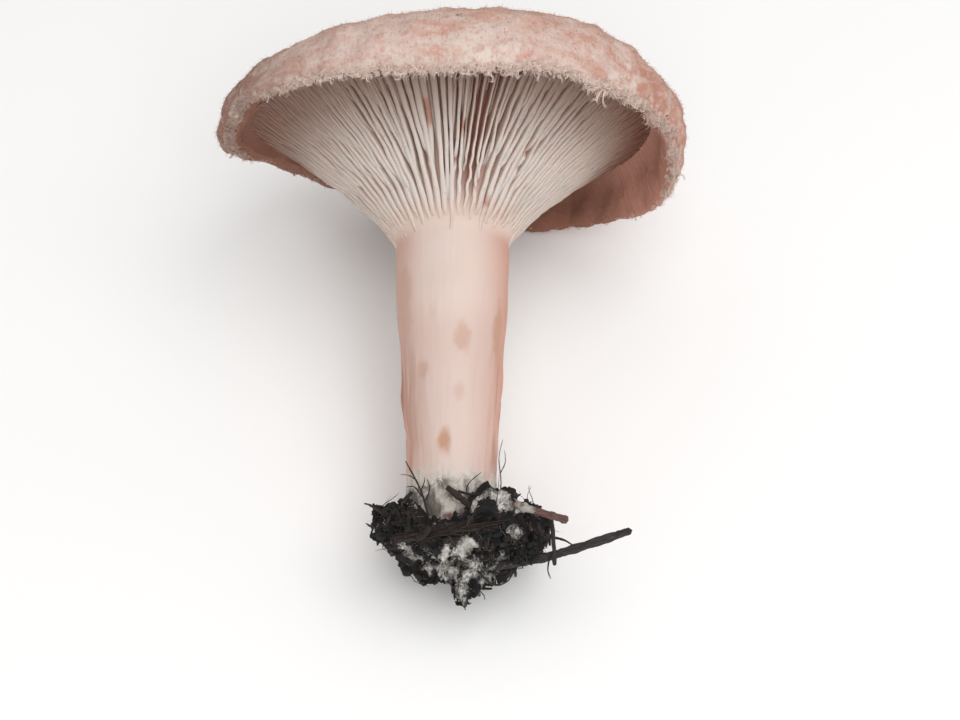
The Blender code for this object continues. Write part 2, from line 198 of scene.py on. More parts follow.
class Bench:
    """Where the plain starting shapes are modelled with Blender's own tools."""

    @staticmethod
    def clear() -> None:
        """Leaves edit mode and selects nothing."""
        if bpy.context.object and bpy.context.object.mode != "OBJECT":
            bpy.ops.object.mode_set(mode="OBJECT")
        bpy.ops.object.select_all(action="DESELECT")

    @staticmethod
    def take(obj: bpy.types.Object) -> Stock:
        """Reads the object's mesh, with its faces outwards, and removes the object."""
        bpy.ops.object.mode_set(mode="EDIT")
        bpy.ops.mesh.select_all(action="SELECT")
        bpy.ops.mesh.normals_make_consistent(inside=False)
        bpy.ops.object.mode_set(mode="OBJECT")
        mesh = obj.data
        points = np.zeros(len(mesh.vertices) * 3)
        mesh.vertices.foreach_get("co", points)
        faces: dict[int, list[list[int]]] = {}
        for polygon in mesh.polygons:
            faces.setdefault(len(polygon.vertices), []).append(list(polygon.vertices))
        bpy.data.objects.remove(obj)
        bpy.data.meshes.remove(mesh)
        return Stock(points.reshape(-1, 3), {size: np.array(rows) for size, rows in faces.items()})

    @classmethod
    def lathe(cls, outline: list[tuple[float, float]], columns: int) -> Stock:
        """An outline of (radius, height) extruded point by point and spun round Z.

        Args:
            outline: from one point on the axis to another.
            columns: how many steps the spin has.

        Returns:
            The closed turned body.
        """
        cls.clear()
        bpy.ops.mesh.primitive_plane_add(size=1)
        bpy.ops.object.mode_set(mode="EDIT")
        bpy.ops.mesh.merge(type="CENTER")
        bpy.ops.transform.translate(value=(outline[0][0], 0, outline[0][1]))
        for (radius, height), (wider, higher) in zip(outline, outline[1:]):
            bpy.ops.mesh.extrude_region_move(
                TRANSFORM_OT_translate={"value": (wider - radius, 0, higher - height)}
            )
        bpy.ops.mesh.select_all(action="SELECT")
        bpy.ops.mesh.spin(steps=columns, angle=2 * math.pi, center=(0, 0, 0), axis=(0, 0, 1))
        bpy.ops.mesh.select_all(action="SELECT")
        bpy.ops.mesh.remove_doubles(threshold=0.001)
        return cls.take(bpy.context.object)

    @classmethod
    def strand(cls, sides: int, rings: int) -> Stock:
        """A straight tapered thread along Z, one unit for each ring."""
        cls.clear()
        bpy.ops.mesh.primitive_circle_add(vertices=sides, radius=1, fill_type="NGON")
        bpy.ops.object.mode_set(mode="EDIT")
        bpy.ops.mesh.select_all(action="SELECT")
        for _ in range(rings - 1):
            bpy.ops.mesh.extrude_region_move(TRANSFORM_OT_translate={"value": (0, 0, 1)})
        bpy.ops.mesh.extrude_region_move(TRANSFORM_OT_translate={"value": (0, 0, 1)})
        bpy.ops.mesh.merge(type="CENTER")
        return cls.take(bpy.context.object)

    @classmethod
    def blade(cls, stations: int, rows: int) -> Stock:
        """A thin slab, 1 long by 1 high by 1 thick, cut into stations and rows."""
        cls.clear()
        bpy.ops.mesh.primitive_grid_add(x_subdivisions=stations, y_subdivisions=rows, size=1)
        slab = bpy.context.object
        thick = slab.modifiers.new("thick", "SOLIDIFY")
        thick.thickness = 1
        thick.offset = 0
        bpy.ops.object.modifier_apply(modifier=thick.name)
        made = cls.take(slab)
        made.points += 0.5
        return made

    @classmethod
    def crumb(cls, seed: float) -> Stock:
        """An angular grain about 1 unit across: a ball with four flats cut off it."""
        cls.clear()
        bpy.ops.mesh.primitive_ico_sphere_add(subdivisions=1, radius=0.5)
        bpy.ops.object.mode_set(mode="EDIT")
        for i in range(4):
            way = Vector((math.cos(seed + 2.4 * i), math.sin(seed + 2.4 * i), math.sin(seed * 3 + i)))
            flat_at = way.normalized() * 0.36
            bpy.ops.mesh.select_all(action="SELECT")
            bpy.ops.mesh.bisect(plane_co=flat_at, plane_no=way, use_fill=True, clear_outer=True)
        bpy.ops.mesh.select_all(action="SELECT")
        bpy.ops.mesh.quads_convert_to_tris()
        return cls.take(bpy.context.object)


@dataclass
class Copies:
    """Lays many copies of one shape, each with points of its own."""

    shape: Stock

    def along(self, lines: np.ndarray, widths: np.ndarray, rng: np.random.Generator) -> Stock:
        """Bends copies of a thread along lines.

        Args:
            lines: one row of points for each thread, as many as the thread has rings and its tip.
            widths: each thread's radius at each of its points.
            rng: where each thread's roll comes from.

        Returns:
            All the threads, marked with "tip", 0 at the root and 1 at the tip.
        """
        tangent = unit(np.gradient(lines, axis=1))
        side = unit(np.cross(tangent, unit(rng.normal(size=(len(lines), 1, 3)))))
        third = np.cross(tangent, side)
        ring = np.rint(self.shape.points[:, 2]).astype(int)
        across = self.shape.points[:, :2]
        wide = widths[:, ring, None]
        points = lines[:, ring] + wide * (side[:, ring] * across[:, :1] + third[:, ring] * across[:, 1:])
        tips = np.broadcast_to(ring / ring.max(), points.shape[:2])
        return self.filled(points, {"tip": tips.reshape(-1)})

    def filled(self, points: np.ndarray, marks: dict[str, np.ndarray]) -> Stock:
        """The copies as one stock, from each copy's own points."""
        count, size = points.shape[:2]
        starts = np.arange(count)[:, None, None] * size
        faces = {n: (rows[None] + starts).reshape(-1, n) for n, rows in self.shape.faces.items()}
        return Stock(points.reshape(-1, 3), faces, marks)

    def scattered(self, middles: np.ndarray, sizes: np.ndarray, rng: np.random.Generator) -> Stock:
        """Copies at the middles, each turned at random and with its own three sizes."""
        spins = [np.array(Euler(rng.uniform(0, 2 * math.pi, 3)).to_matrix()) for _ in middles]
        points = self.shape.points[None] * sizes[:, None]
        points = np.einsum("nij,nkj->nki", np.array(spins), points) + middles[:, None]
        return self.filled(points, {})


class Piece:
    """Makes finished pieces of the scene from stocks."""

    @staticmethod
    def make(
        name: str,
        stock: Stock,
        slot: str,
        nodes: tuple[str, ...],
        *finishes: "Finish",
        flat: bool = False,
    ) -> bpy.types.Object:
        """Lays a stock down as an object that rides on the body.

        Args:
            name: the piece's name.
            stock: its shape, upright.
            slot: the record's material slot; not used.
            nodes: the solids that it stands for.
            finishes: what its materials are made by.
            flat: shades each face flat, as thin threads need.

        Returns:
            The finished object, at the origin, with its place in its mesh.
        """
        inwards = stock.volume() < 0
        outwards = [rows[:, ::-1] if inwards else rows for rows in stock.faces.values()]
        loops = np.concatenate([rows.reshape(-1) for rows in outwards])
        sizes = np.concatenate([np.full(len(rows), rows.shape[1]) for rows in outwards])
        starts = np.concatenate([[0], np.cumsum(sizes)[:-1]])
        mesh = bpy.data.meshes.new(name)
        mesh.vertices.add(len(stock.points))
        mesh.vertices.foreach_set("co", LYING.place(stock.points).astype(np.float32).reshape(-1))
        mesh.loops.add(len(loops))
        mesh.loops.foreach_set("vertex_index", loops.astype(np.int32))
        mesh.polygons.add(len(sizes))
        mesh.polygons.foreach_set("loop_start", starts.astype(np.int32))
        mesh.update(calc_edges=True)
        for mark, values in stock.marks.items():
            kind, key = ("FLOAT_VECTOR", "vector") if values.ndim == 2 else ("FLOAT", "value")
            layer = mesh.attributes.new(mark, kind, "POINT")
            layer.data.foreach_set(key, values.astype(np.float32).reshape(-1))
        mesh.validate()
        if flat:
            mesh.shade_flat()
        else:
            mesh.shade_smooth()
        obj = bpy.data.objects.new(name, mesh)
        bpy.context.scene.collection.objects.link(obj)
        for finish in finishes:
            mesh.materials.append(finish.material())
        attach(obj, "root")
        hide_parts(*nodes)
        LOG.info("%s: %d triangles", name, stock.triangles())
        return obj


class Signal:
    """A socket of a material's nodes, written in sums."""

    def __init__(self, graph: "Graph", socket: bpy.types.NodeSocket) -> None:
        """Wraps a node's output socket."""
        self.graph = graph
        self.socket = socket

    def _sum(self, operation: str, *terms: "Signal | float") -> "Signal":
        """A Math node on the terms."""
        return self.graph.node("ShaderNodeMath", {"operation": operation}, dict(enumerate(terms)))

    def __add__(self, other: "Signal | float") -> "Signal":
        """Self plus other."""
        return self._sum("ADD", self, other)

    def __sub__(self, other: "Signal | float") -> "Signal":
        """Self minus other."""
        return self._sum("SUBTRACT", self, other)

    def __rsub__(self, other: float) -> "Signal":
        """A number minus self."""
        return self._sum("SUBTRACT", other, self)

    def __mul__(self, other: "Signal | float") -> "Signal":
        """Self times other."""
        return self._sum("MULTIPLY", self, other)

    __radd__ = __add__
    __rmul__ = __mul__

    def sine(self) -> "Signal":
        """The sine of self."""
        return self._sum("SINE", self)

    def step(self, low: float, high: float) -> "Signal":
        """A smooth step, 0 at low and 1 at high."""
        return self.graph.node(
            "ShaderNodeMapRange",
            {"interpolation_type": "SMOOTHSTEP"},
            {"Value": self, "From Min": low, "From Max": high},
        )


class Graph:
    """The nodes of one material. Passes is the share of light that gets through a thin hair."""

    passes = 0.15

    def __init__(self, name: str) -> None:
        """Starts an empty material."""
        self.material = bpy.data.materials.new(name)
        self.material.use_nodes = True
        self.tree = self.material.node_tree
        self.tree.nodes.clear()
        self.here = self.node("ShaderNodeTexCoord", {}, {}, "Object")

    def node(self, kind: str, settings: dict, inputs: dict, output: str | int = 0) -> Signal:
        """Adds any node.

        Args:
            kind: the node's type.
            settings: its properties, set first, and a ramp's "stops".
            inputs: values or signals by socket name or number.
            output: which output socket is returned.

        Returns:
            The output as a signal.
        """
        made = self.tree.nodes.new(kind)
        for key, value in settings.items():
            if key == "stops":
                self.fill_ramp(made.color_ramp, value)
            else:
                setattr(made, key, value)
        for key, value in inputs.items():
            if isinstance(value, Signal):
                self.tree.links.new(value.socket, made.inputs[key])
            else:
                made.inputs[key].default_value = value
        return Signal(self, made.outputs[output])

    @staticmethod
    def fill_ramp(ramp: bpy.types.ColorRamp, stops: list[tuple[float, Colour]]) -> None:
        """Gives a ramp its stops of (place, colour)."""
        while len(ramp.elements) < len(stops):
            ramp.elements.new(1.0)
        for element, (place, colour) in zip(ramp.elements, stops):
            element.position = place
            element.color = (*colour, 1.0)

    def mark(self, name: str, output: str = "Fac") -> Signal:
        """A mark that the mesh carries."""
        return self.node("ShaderNodeAttribute", {"attribute_name": name}, {}, output)

    def cloud(
        self,
        grain: float,
        detail: float = 3.0,
        stretch: tuple[float, float, float] = (1, 1, 1),
        where: Signal | None = None,
        rough: float = 0.55,
        twist: float = 0.0,
    ) -> Signal:
        """Noise, about 0 to 1.

        Args:
            grain: spots per metre, or per unit of the mark that where gives.
            detail: how many finer layers it has.
            stretch: how the pattern is squeezed along each upright axis.
            where: the place to read it at, the object's own coordinates turned upright if left out.
            rough: how strong the finer layers are.
            twist: how much it swirls.

        Returns:
            The noise as a signal.
        """
        place = where or self.upright()
        place = self.node("ShaderNodeMapping", {}, {"Vector": place, "Scale": stretch})
        inputs = {"Vector": place, "Scale": grain, "Detail": detail, "Roughness": rough, "Distortion": twist}
        return self.node("ShaderNodeTexNoise", {}, inputs, "Fac")

    def upright(self) -> Signal:
        """The object's coordinates turned so that Z runs along the stem."""
        spin = (math.pi / 2 - LYING.lean, 0.0, 0.0)
        return self.node("ShaderNodeMapping", {}, {"Vector": self.here, "Rotation": spin})

    def mix(self, share: Signal | float, first: Signal | Colour, second: Signal | Colour) -> Signal:
        """From the first colour to the second."""
        inputs = {0: share}
        for key, colour in ((6, first), (7, second)):
            inputs[key] = colour if isinstance(colour, Signal) else (*colour, 1.0)
        return self.node("ShaderNodeMix", {"data_type": "RGBA"}, inputs, 2)

    def layered(self, ground: Signal | Colour, *coats: tuple[Signal, Signal | Colour]) -> Signal:
        """The ground with one coat after another over it, each as (share, colour)."""
        for share, colour in coats:
            ground = self.mix(share, ground, colour)
        return ground

    def ramp(self, share: Signal, stops: list[tuple[float, Colour]]) -> Signal:
        """A colour ramp."""
        return self.node("ShaderNodeValToRGB", {"stops": stops}, {"Fac": share})

    def whitened(self, ground: Signal, white: Colour) -> Signal:
        """The ground with cloudy white fungus where the mark "white" asks for it."""
        lumps = self.cloud(330, 5, rough=0.7, twist=0.6)
        fine = self.cloud(1500, 3, rough=0.7)
        share = self.mark("white") + (lumps - 0.5) * 1.5 + (fine - 0.5) * 0.8
        return self.mix(share.step(0.38, 0.95) * (0.45 + fine * 0.9), ground, white)

    def bump(self, height: Signal, distance: float, strength: float = 1.0) -> Signal:
        """A bump of so many metres."""
        inputs = {"Height": height, "Distance": distance, "Strength": strength}
        return self.node("ShaderNodeBump", {}, inputs)

    def surface(self, inputs: dict, glow: Colour | None = None) -> bpy.types.Material:
        """Ends the material in a Principled shader with these inputs.

        Args:
            inputs: the shader's values or signals by socket name.
            glow: the tone of the light that passes through, where it does, as in a thin hair.

        Returns:
            The finished material.
        """
        shader = self.node("ShaderNodeBsdfPrincipled", {}, inputs)
        if glow:
            passed = self.node("ShaderNodeBsdfTranslucent", {}, {"Color": (*glow, 1.0)})
            shader = self.node("ShaderNodeMixShader", {}, {0: self.passes, 1: shader, 2: passed})
        end = self.tree.nodes.new("ShaderNodeOutputMaterial")
        self.tree.links.new(shader.socket, end.inputs["Surface"])
        return self.material


def beneath(weight: float, radius: tuple[float, float, float], scale: float) -> dict:
    """The shader's inputs for light that spreads beneath the skin."""
    return {"Subsurface Weight": weight, "Subsurface Radius": radius, "Subsurface Scale": scale}


class Finish:
    """A finish that makes its material once."""

    name = "finish"

    def __init__(self) -> None:
        """Starts with no material."""
        self._made: bpy.types.Material | None = None

    def material(self) -> bpy.types.Material:
        """The finish's material."""
        if self._made is None:
            self._made = self.build(Graph(self.name))
        return self._made

    def build(self, graph: Graph) -> bpy.types.Material:
        """Builds the nodes."""
        raise NotImplementedError


class CapSkin(Finish):
    """The cap's skin: salmon zones round the dip, blotched and felted towards the woolly rim."""

    name = "cap_skin"
    dip = paint(158, 84, 64)
    dark_zone = paint(172, 98, 77)
    pale_zone = paint(212, 158, 137)
    shoulder = paint(198, 156, 138)
    rim = paint(203, 180, 169)
    blush = paint(196, 148, 131)
    spot = paint(184, 116, 98)
    wool = paint(218, 203, 194)
    right_end = paint(182, 130, 112)
    # left_end: painted shade at the rim's left end.
    left_end = paint(140, 102, 88)
    # inside_left_shade and inside_right_shade: painted shade on the lip's inner wall, darker on the left,
    # over a brownish tone.
    inside_left_shade = paint(136, 92, 75)
    inside_right_shade = paint(194, 141, 123)
    rib = paint(120, 78, 64)
    speck = paint(90, 62, 52)
    zones_reach = 72
    zone_starts = {"dip": 0.0, "dark_zone": 0.2, "pale_zone": 0.5, "shoulder": 0.66, "rim": 0.84}

    def build(self, graph: Graph) -> bpy.types.Material:
        """Zones by the way from the dip's middle, patches, fibres, painted shade at the rim's left end, and
        the inside of the lip in brown painted shade.
        """
        reach, inner = graph.mark("reach"), graph.mark("inner")
        grain = graph.mark("grain", "Vector")
        wide = graph.cloud(42, 3)
        patches = graph.cloud(120, 4, rough=0.6, twist=0.5)
        fine = graph.cloud(900, 3)
        fibres = graph.cloud(1.6, 4, (1, 1, 0.25), grain, 0.6)
        bands = graph.cloud(0.17, 5, (0.5, 0.5, 1.2), grain, 0.65, 0.4)
        ribs = graph.cloud(1.4, 2, (1, 1, 0.06), grain)
        warped = reach + (wide - 0.5) * 14 + (patches - 0.5) * 7 + (fibres - 0.5) * 4
        stops = [(at, getattr(self, tone)) for tone, at in self.zone_starts.items()]
        zones = graph.ramp(warped * (1 / self.zones_reach), stops)
        rings = (warped * (2 * math.pi / RING_PITCH)).sine() * 0.5 + 0.5
        rimward = reach.step(36, 52)
        pale_bands = bands.step(0.3, 0.42) * (1 - bands.step(0.42, 0.5))
        outside = graph.layered(
            zones,
            (rings * (1 - reach.step(34, 54)) * (patches * 1.5), self.dark_zone),
            (fibres.step(0.5, 0.68) * 0.25, self.spot),
            (bands.step(0.46, 0.62) * (0.25 + wide * 0.9) * rimward, self.blush),
            (graph.cloud(260, 4, rough=0.65).step(0.55, 0.7) * 0.55, self.spot),
            (graph.mark("right_end") * (0.4 + bands * 1.2), self.right_end),
            # Painted shade at the rim's left end.
            (graph.mark("left_end") * (0.45 + bands * 1.1), self.left_end),
            (graph.cloud(130, 6, rough=0.65).step(0.5, 0.66) * rimward * 0.45, self.wool),
            (pale_bands * rimward * 0.3, self.wool),
            (graph.mark("wool") * (0.4 + patches * 0.75), self.wool),
            (graph.cloud(620, 4, rough=0.7).step(0.53, 0.64) * 0.4, self.spot),
            (graph.cloud(900, 4, rough=0.7).step(0.54, 0.66) * rimward * 0.4, self.wool),
            (graph.cloud(520, 0).step(0.83, 0.85) * 0.8, self.speck),
        )
        # The inside of the lip: painted shade in a brownish tone, darker on the left, with ribs where the
        # gills run out.
        inside = graph.layered(
            self.inside_left_shade,
            (graph.mark("right").step(0.84, 0.98), self.inside_right_shade),
            (ribs.step(0.42, 0.7) * 0.22, self.rib),
        )
        height = fibres * 0.5 + fine * 0.6 + patches + graph.cloud(2400, 2) * 0.3
        inputs = {
            "Base Color": graph.mix(inner * (0.85 + wide * 0.3), outside, inside),
            "Roughness": 0.8,
            "Normal": graph.bump(height, 0.0005, 0.7),
        }
        return graph.surface({**inputs, **beneath(0.1, (1.0, 0.45, 0.3), 0.002)})


class Flesh(Finish):
    """The stem and the ground that the gills stand on."""

    name = "pale_flesh"
    cream = paint(219, 202, 193)
    blush = paint(215, 188, 176)
    flush = paint(208, 182, 172)
    tan = paint(190, 146, 122)
    # side_shade_tan: painted shade on the stem's left and right flanks, in a tan tone.
    side_shade_tan = paint(198, 138, 116)
    crease = paint(158, 116, 94)
    between = paint(200, 168, 154)
    # between_shade: the gills' ground where they stand apart, partly its own pinkish brown and partly painted
    # shade of the deep gaps.
    between_shade = paint(134, 88, 74)
    thread_white = paint(208, 200, 190)
    thread_grey = paint(166, 157, 146)
    dirt = paint(82, 72, 64)
    slit = paint(112, 58, 52)

    def build(self, graph: Graph) -> bpy.types.Material:
        """Cream with blushes, tan pits, painted shade on the flanks and where the gills' ground lies in open
        gaps, a pinkish top and a whitish foot with dirt.
        """
        clouds = graph.cloud(70, 4, (1, 1, 0.45))
        grain = graph.cloud(900, 3, (1, 1, 0.18))
        foot_patches = graph.cloud(170, 6, rough=0.7, twist=0.5)
        specks = graph.cloud(430, 6, rough=0.75, twist=0.8)
        creases = graph.cloud(380, 3, (1, 1, 0.07), rough=0.5)
        foot = graph.mark("foot")
        colour = graph.layered(
            self.cream,
            (clouds.step(0.4, 0.68) * 0.35, self.blush),
            (grain.step(0.4, 0.8) * 0.15, self.blush),
            (graph.mark("flushed") * (0.4 + clouds * 0.7), self.flush),
            # Painted shade on the stem's left and right flanks.
            (graph.mark("side") * (0.3 + clouds), self.side_shade_tan),
            (graph.mark("wrinkled") * creases.step(0.5, 0.6) * 0.6, self.crease),
            (graph.mark("pit") * (0.5 + clouds * 0.6), self.tan),
            (graph.mark("top") * (0.35 + clouds * 0.5), self.blush),
            # The gills' ground, darker in the open gaps: partly painted shade.
            (graph.mark("bed"), graph.mix(graph.mark("apart"), self.between, self.between_shade)),
            (foot.step(0, 0.55) * foot_patches.step(0.2, 0.5), self.thread_white),
            (foot.step(0.05, 0.6) * specks.step(0.42, 0.62) * 0.8, self.thread_grey),
            (foot.step(0.45, 1.0) * specks.step(0.36, 0.5) * 0.85, self.dirt),
            (graph.mark("slit"), self.slit),
        )
        height = grain * 0.3 + clouds * 0.5 + foot * foot_patches * 3
        inputs = {"Base Color": colour, "Roughness": 0.55, "Normal": graph.bump(height, 0.0003, 0.5)}
        return graph.surface({**inputs, **beneath(0.15, (1.0, 0.5, 0.35), 0.003)})


class GillSkin(Finish):
    """The gills: ivory, pinkish brown between them with painted shade in the open gaps, painted shade towards
    the rim and at the left and right, and browner where they are hurt.
    """

    name = "gill_skin"
    edge = paint(216, 204, 196)
    face = paint(194, 172, 158)
    # deep: the ground in the open gaps, partly the flesh's pinkish brown and partly painted shade.
    deep = paint(172, 114, 96)
    shallow = paint(208, 182, 169)
    # rimward and rim_gap_shade: painted shade under the overhanging lip, browner towards the rim.
    rimward = paint(124, 93, 76)
    rim_gap_shade = paint(124, 80, 64)
    # side_shade_brown: painted shade at the gills' left and right, near the rim.
    side_shade_brown = paint(120, 82, 67)
    stemward = paint(222, 193, 179)
    wound = paint(170, 118, 98)

    def build(self, graph: Graph) -> bpy.types.Material:
        """From the deep root to the pale edge, with painted shade towards the rim and at the sides, the pink
        foot and the wounds.
        """
        out, run = graph.mark("out"), graph.mark("run")
        side, apart = graph.mark("side"), graph.mark("apart")
        cloud = graph.cloud(160, 4)
        fine = graph.cloud(1100, 2)
        # Where the gills stand apart, the dark root tone climbs further up the flanks: painted shade of the
        # gaps, partly the flesh's own pinkish brown.
        flank = out.step(0.0, 0.5) * (1 - apart * (1 - out.step(0.35, 0.95)) * 0.85)
        crest = graph.mix(out.step(0.3, 0.9) * (1 - side * 0.4), self.face, self.edge)
        rim_tone = graph.mix(apart * 0.7, self.rimward, self.rim_gap_shade)
        colour = graph.layered(
            graph.mix(apart, self.shallow, self.deep),
            (flank, crest),
            # Painted shade: browner towards the rim; the same tone is also laid in faint random clouds below.
            (run.step(0.3, 0.95) * 0.88, rim_tone),
            # Painted shade at the left and right, towards the rim.
            ((run + (cloud - 0.5) * 0.2).step(0.5, 1.02) * side, self.side_shade_brown),
            ((1 - run.step(0.0, 0.16)) * 0.8, self.stemward),
            (cloud.step(0.5, 0.75) * 0.2, rim_tone),
            (fine.step(0.62, 0.72) * 0.15, self.deep),
            (graph.mark("wound") * (0.35 + fine * 0.9), self.wound),
        )
        inputs = {"Base Color": colour, "Roughness": 0.5, "Normal": graph.bump(fine + cloud, 0.00008, 0.6)}
        return graph.surface({**inputs, **beneath(0.35, (1.0, 0.6, 0.45), 0.0018)})


class Wool(Finish):
    """The wool of the rim, or the short fibres on the skin: from one tone at the root to another."""

    def __init__(self, name: str, root: Colour, tip: Colour, shaded_ends: Colour) -> None:
        """Names the wool and its tones."""
        super().__init__()
        self.name = name
        self.root = root
        self.tip = tip
        self.shaded_ends = shaded_ends

    def build(self, graph: Graph) -> bpy.types.Material:
        """From root to tip, uneven from tuft to tuft, with painted shade at the rim's left and right end."""
        tufts = graph.cloud(260, 2)
        share = graph.mark("tip").step(0.0, 0.6) * (0.55 + tufts * 0.7)
        colour = graph.mix(share, self.root, self.tip)
        # Painted shade at the rim's left and right end.
        with_end_shade = graph.mix(graph.mark("end") * (0.35 + tufts * 0.7), colour, self.shaded_ends)
        return graph.surface({"Base Color": with_end_shade, "Roughness": 0.85}, glow=self.tip)


class Soil(Finish):
    """Black leaf soil with patches and threads of white fungus."""

    name = "leaf_soil"
    black = paint(14, 11, 10)
    brown = paint(46, 34, 28)
    white = paint(222, 217, 210)

    def build(self, graph: Graph) -> bpy.types.Material:
        """Dark and uneven, with cloudy white patches that have ragged edges."""
        lumps = graph.cloud(220, 5, rough=0.65)
        fine = graph.cloud(1500, 4, rough=0.7)
        earth = graph.mix(lumps.step(0.45, 0.75), self.black, self.brown)
        height = graph.bump(lumps + fine * 0.6, 0.0006, 0.9)
        colour = graph.whitened(earth, self.white)
        return graph.surface({"Base Color": colour, "Roughness": 0.8, "Normal": height})


class Thread(Finish):
    """The fungus's white threads in the soil."""

    name = "white_threads"
    tone = paint(216, 210, 204)
    grey = paint(150, 142, 136)

    def build(self, graph: Graph) -> bpy.types.Material:
        """White to grey."""
        colour = graph.mix(graph.cloud(200, 2).step(0.4, 0.65), self.tone, self.grey)
        return graph.surface({"Base Color": colour, "Roughness": 0.8}, glow=self.tone)


class Wood(Finish):
    """Weathered wood or bark, in one tone, dusted white where the fungus grows over it."""

    white = paint(190, 184, 176)

    def __init__(self, name: str, tone: Colour, light: Colour) -> None:
        """Names the wood and its dark and light tone."""
        super().__init__()
        self.name = name
        self.tone = tone
        self.light = light

    def build(self, graph: Graph) -> bpy.types.Material:
        """Fibres along the piece, with lighter worn patches."""
        fibres = graph.cloud(0.9, 4, (6, 6, 0.8), graph.mark("grain", "Vector"), 0.6)
        worn = graph.cloud(420, 4)
        weathered = ((fibres.step(0.35, 0.75), self.light), (worn.step(0.6, 0.72) * 0.4, self.light))
        dusted = graph.whitened(graph.layered(self.tone, *weathered), self.white)
        height = graph.bump(fibres + worn * 0.4, 0.0003, 0.9)
        return graph.surface({"Base Color": dusted, "Roughness": 0.7, "Normal": height})


class Part(Enum):
    """The stretches of the fruit body's outline, from the dip's middle to the foot."""

    TOP = 0
    SHOULDER = 1
    LIP = 2
    BED = 3
    STEM = 4
    FOOT = 5


@dataclass(frozen=True)
class Outline:
    """The fruit body's outline, in millimetres.

    The numbers are those of the solid, apart from where the lip and the shoulder lack some of their
    height round the rim: (degrees, share) for the lip, (degrees, half width, share) for the shoulder.
    """

    cap_radius: float = 51.6
    crest_radius: float = 38.0
    dip_height: float = 19.0
    crest_height: float = 35.2
    widest_height: float = 23.0
    lip_width: float = 5.6
    lip_drop: float = 5.8
    gill_head_radius: float = 44.0
    gill_head_height: float = 24.6
    gill_foot_height: float = -3.0
    gill_curve: float = 0.75
    gill_depth: float = 2.5
    gill_grows_over: float = 0.38
    gill_ends_over: float = 0.083
    gill_left_at_lip: float = 0.35
    wall_out: float = 2.7
    wall_drop: float = 5.6
    stem_top_radius: float = 12.3
    stem_low_radius: float = 9.4
    stem_taper_from: float = -6.0
    stem_taper_length: float = 52.0
    foot_from: float = -63.0
    foot_end: float = -76.0
    notch_at: float = -138.0
    notch_half: float = 46.0
    notch_depth: float = 3.0
    notch_lift: float = 4.2
    lip_lost_at: tuple[tuple[float, float], ...] = (
        (0, 0.34), (22, 0.38), (44, 0.42), (60, 0.30), (75, 0.20), (89, -0.45), (103, -0.95),
        (118, -0.80), (132, -0.35), (150, -0.22), (175, 0.0), (-160, 0.40), (-143, 0.85),
        (-126, 0.98), (-110, 1.0), (-96, 0.72), (-82, 0.95), (-66, 1.25), (-50, 0.85),
        (-34, 0.50), (-17, 0.42),
    )
    lip_lost_spread: float = 11.0
    shoulder_lost_at: tuple[tuple[float, float, float], ...] = ((-48.0, 20.0, 0.17), (77.0, 13.0, 0.21))
    tilt_right: float = 1.0
    tilt_far: float = 1.0
    wave: float = 0.5
    wider_left: float = 0.3

    def edge(self, share: np.ndarray | float) -> tuple[np.ndarray, np.ndarray]:
        """(radius, height) of the gills' edges, at a share of the way from stem to lip.

        Shares from 1 to 2 run on down the lip's inner wall.
        """
        wall = np.clip(np.asarray(share) - 1, 0.0, 1.0)
        share = np.clip(share, 0.0, 1.0)
        radius = self.stem_top_radius + (self.gill_head_radius - self.stem_top_radius) * share
        rise = self.gill_head_height - self.gill_foot_height
        height = self.gill_foot_height + rise * share**self.gill_curve
        return radius + self.wall_out * (1 - (1 - wall) ** 2), height - self.wall_drop * wall

    def edge_normal(self, share: np.ndarray | float) -> tuple[np.ndarray, np.ndarray]:
        """(outward, upward) parts of the direction from the gills' edges into the flesh."""
        step = 0.004
        share = np.clip(share, step, 2.0 - step)
        before, after = self.edge(share - step), self.edge(share + step)
        slope = np.arctan2(after[1] - before[1], after[0] - before[0])
        return -np.sin(slope), np.cos(slope)

    def depth(self, share: np.ndarray | float) -> np.ndarray:
        """How deep the gills stand in from their edges to the flesh."""
        grown = smooth(np.asarray(share) / self.gill_grows_over)
        left = np.maximum(1 - np.asarray(share), 0) / self.gill_ends_over + self.gill_left_at_lip
        return self.gill_depth * grown * smooth(left)

    def stem_radius(self, height: np.ndarray | float) -> np.ndarray:
        """The stem's radius at a height."""
        taper = smooth((self.stem_taper_from - height) / self.stem_taper_length)
        return self.stem_top_radius - (self.stem_top_radius - self.stem_low_radius) * taper

    def notch(self, angle: np.ndarray) -> np.ndarray:
        """How much of the notch there is at an angle."""
        return bell(off_by(angle, self.notch_at), self.notch_half)

    def lip_lost(self, angle: np.ndarray) -> np.ndarray:
        """The share of its drop that the lip lacks, blended from the named angles round the rim."""
        weight, total = 0.0, 0.0
        for degrees, share in self.lip_lost_at:
            near = bell(off_by(angle, degrees), self.lip_lost_spread) + 1e-6
            weight, total = weight + near, total + near * share
        return total / weight

    def shoulder_lost(self, angle: np.ndarray) -> np.ndarray:
        """The share of its height over the widest place that the shoulder lacks at an angle."""
        return sum(share * bell(off_by(angle, at), half) for at, half, share in self.shoulder_lost_at)

    def waves(self, angle: np.ndarray) -> tuple[np.ndarray, np.ndarray]:
        """(outward, upward) move of the rim at an angle, 0 at the upper side and 90 degrees at +X."""
        notch = self.notch(angle)
        outward = self.wave * (np.cos(5 * angle + 2.3) - np.cos(6 * angle)) - self.wider_left * np.sin(angle)
        upward = self.tilt_right * np.sin(angle) - self.tilt_far * np.cos(angle)
        upward = upward + self.wave * np.sin(5 * angle + 0.4) + self.notch_lift * notch
        return outward - self.notch_depth * notch, upward

    def rim_share(self, radius: np.ndarray) -> np.ndarray:
        """How much a place follows the rim's waves."""
        return smooth((radius - self.stem_top_radius) / (self.cap_radius - self.stem_top_radius))

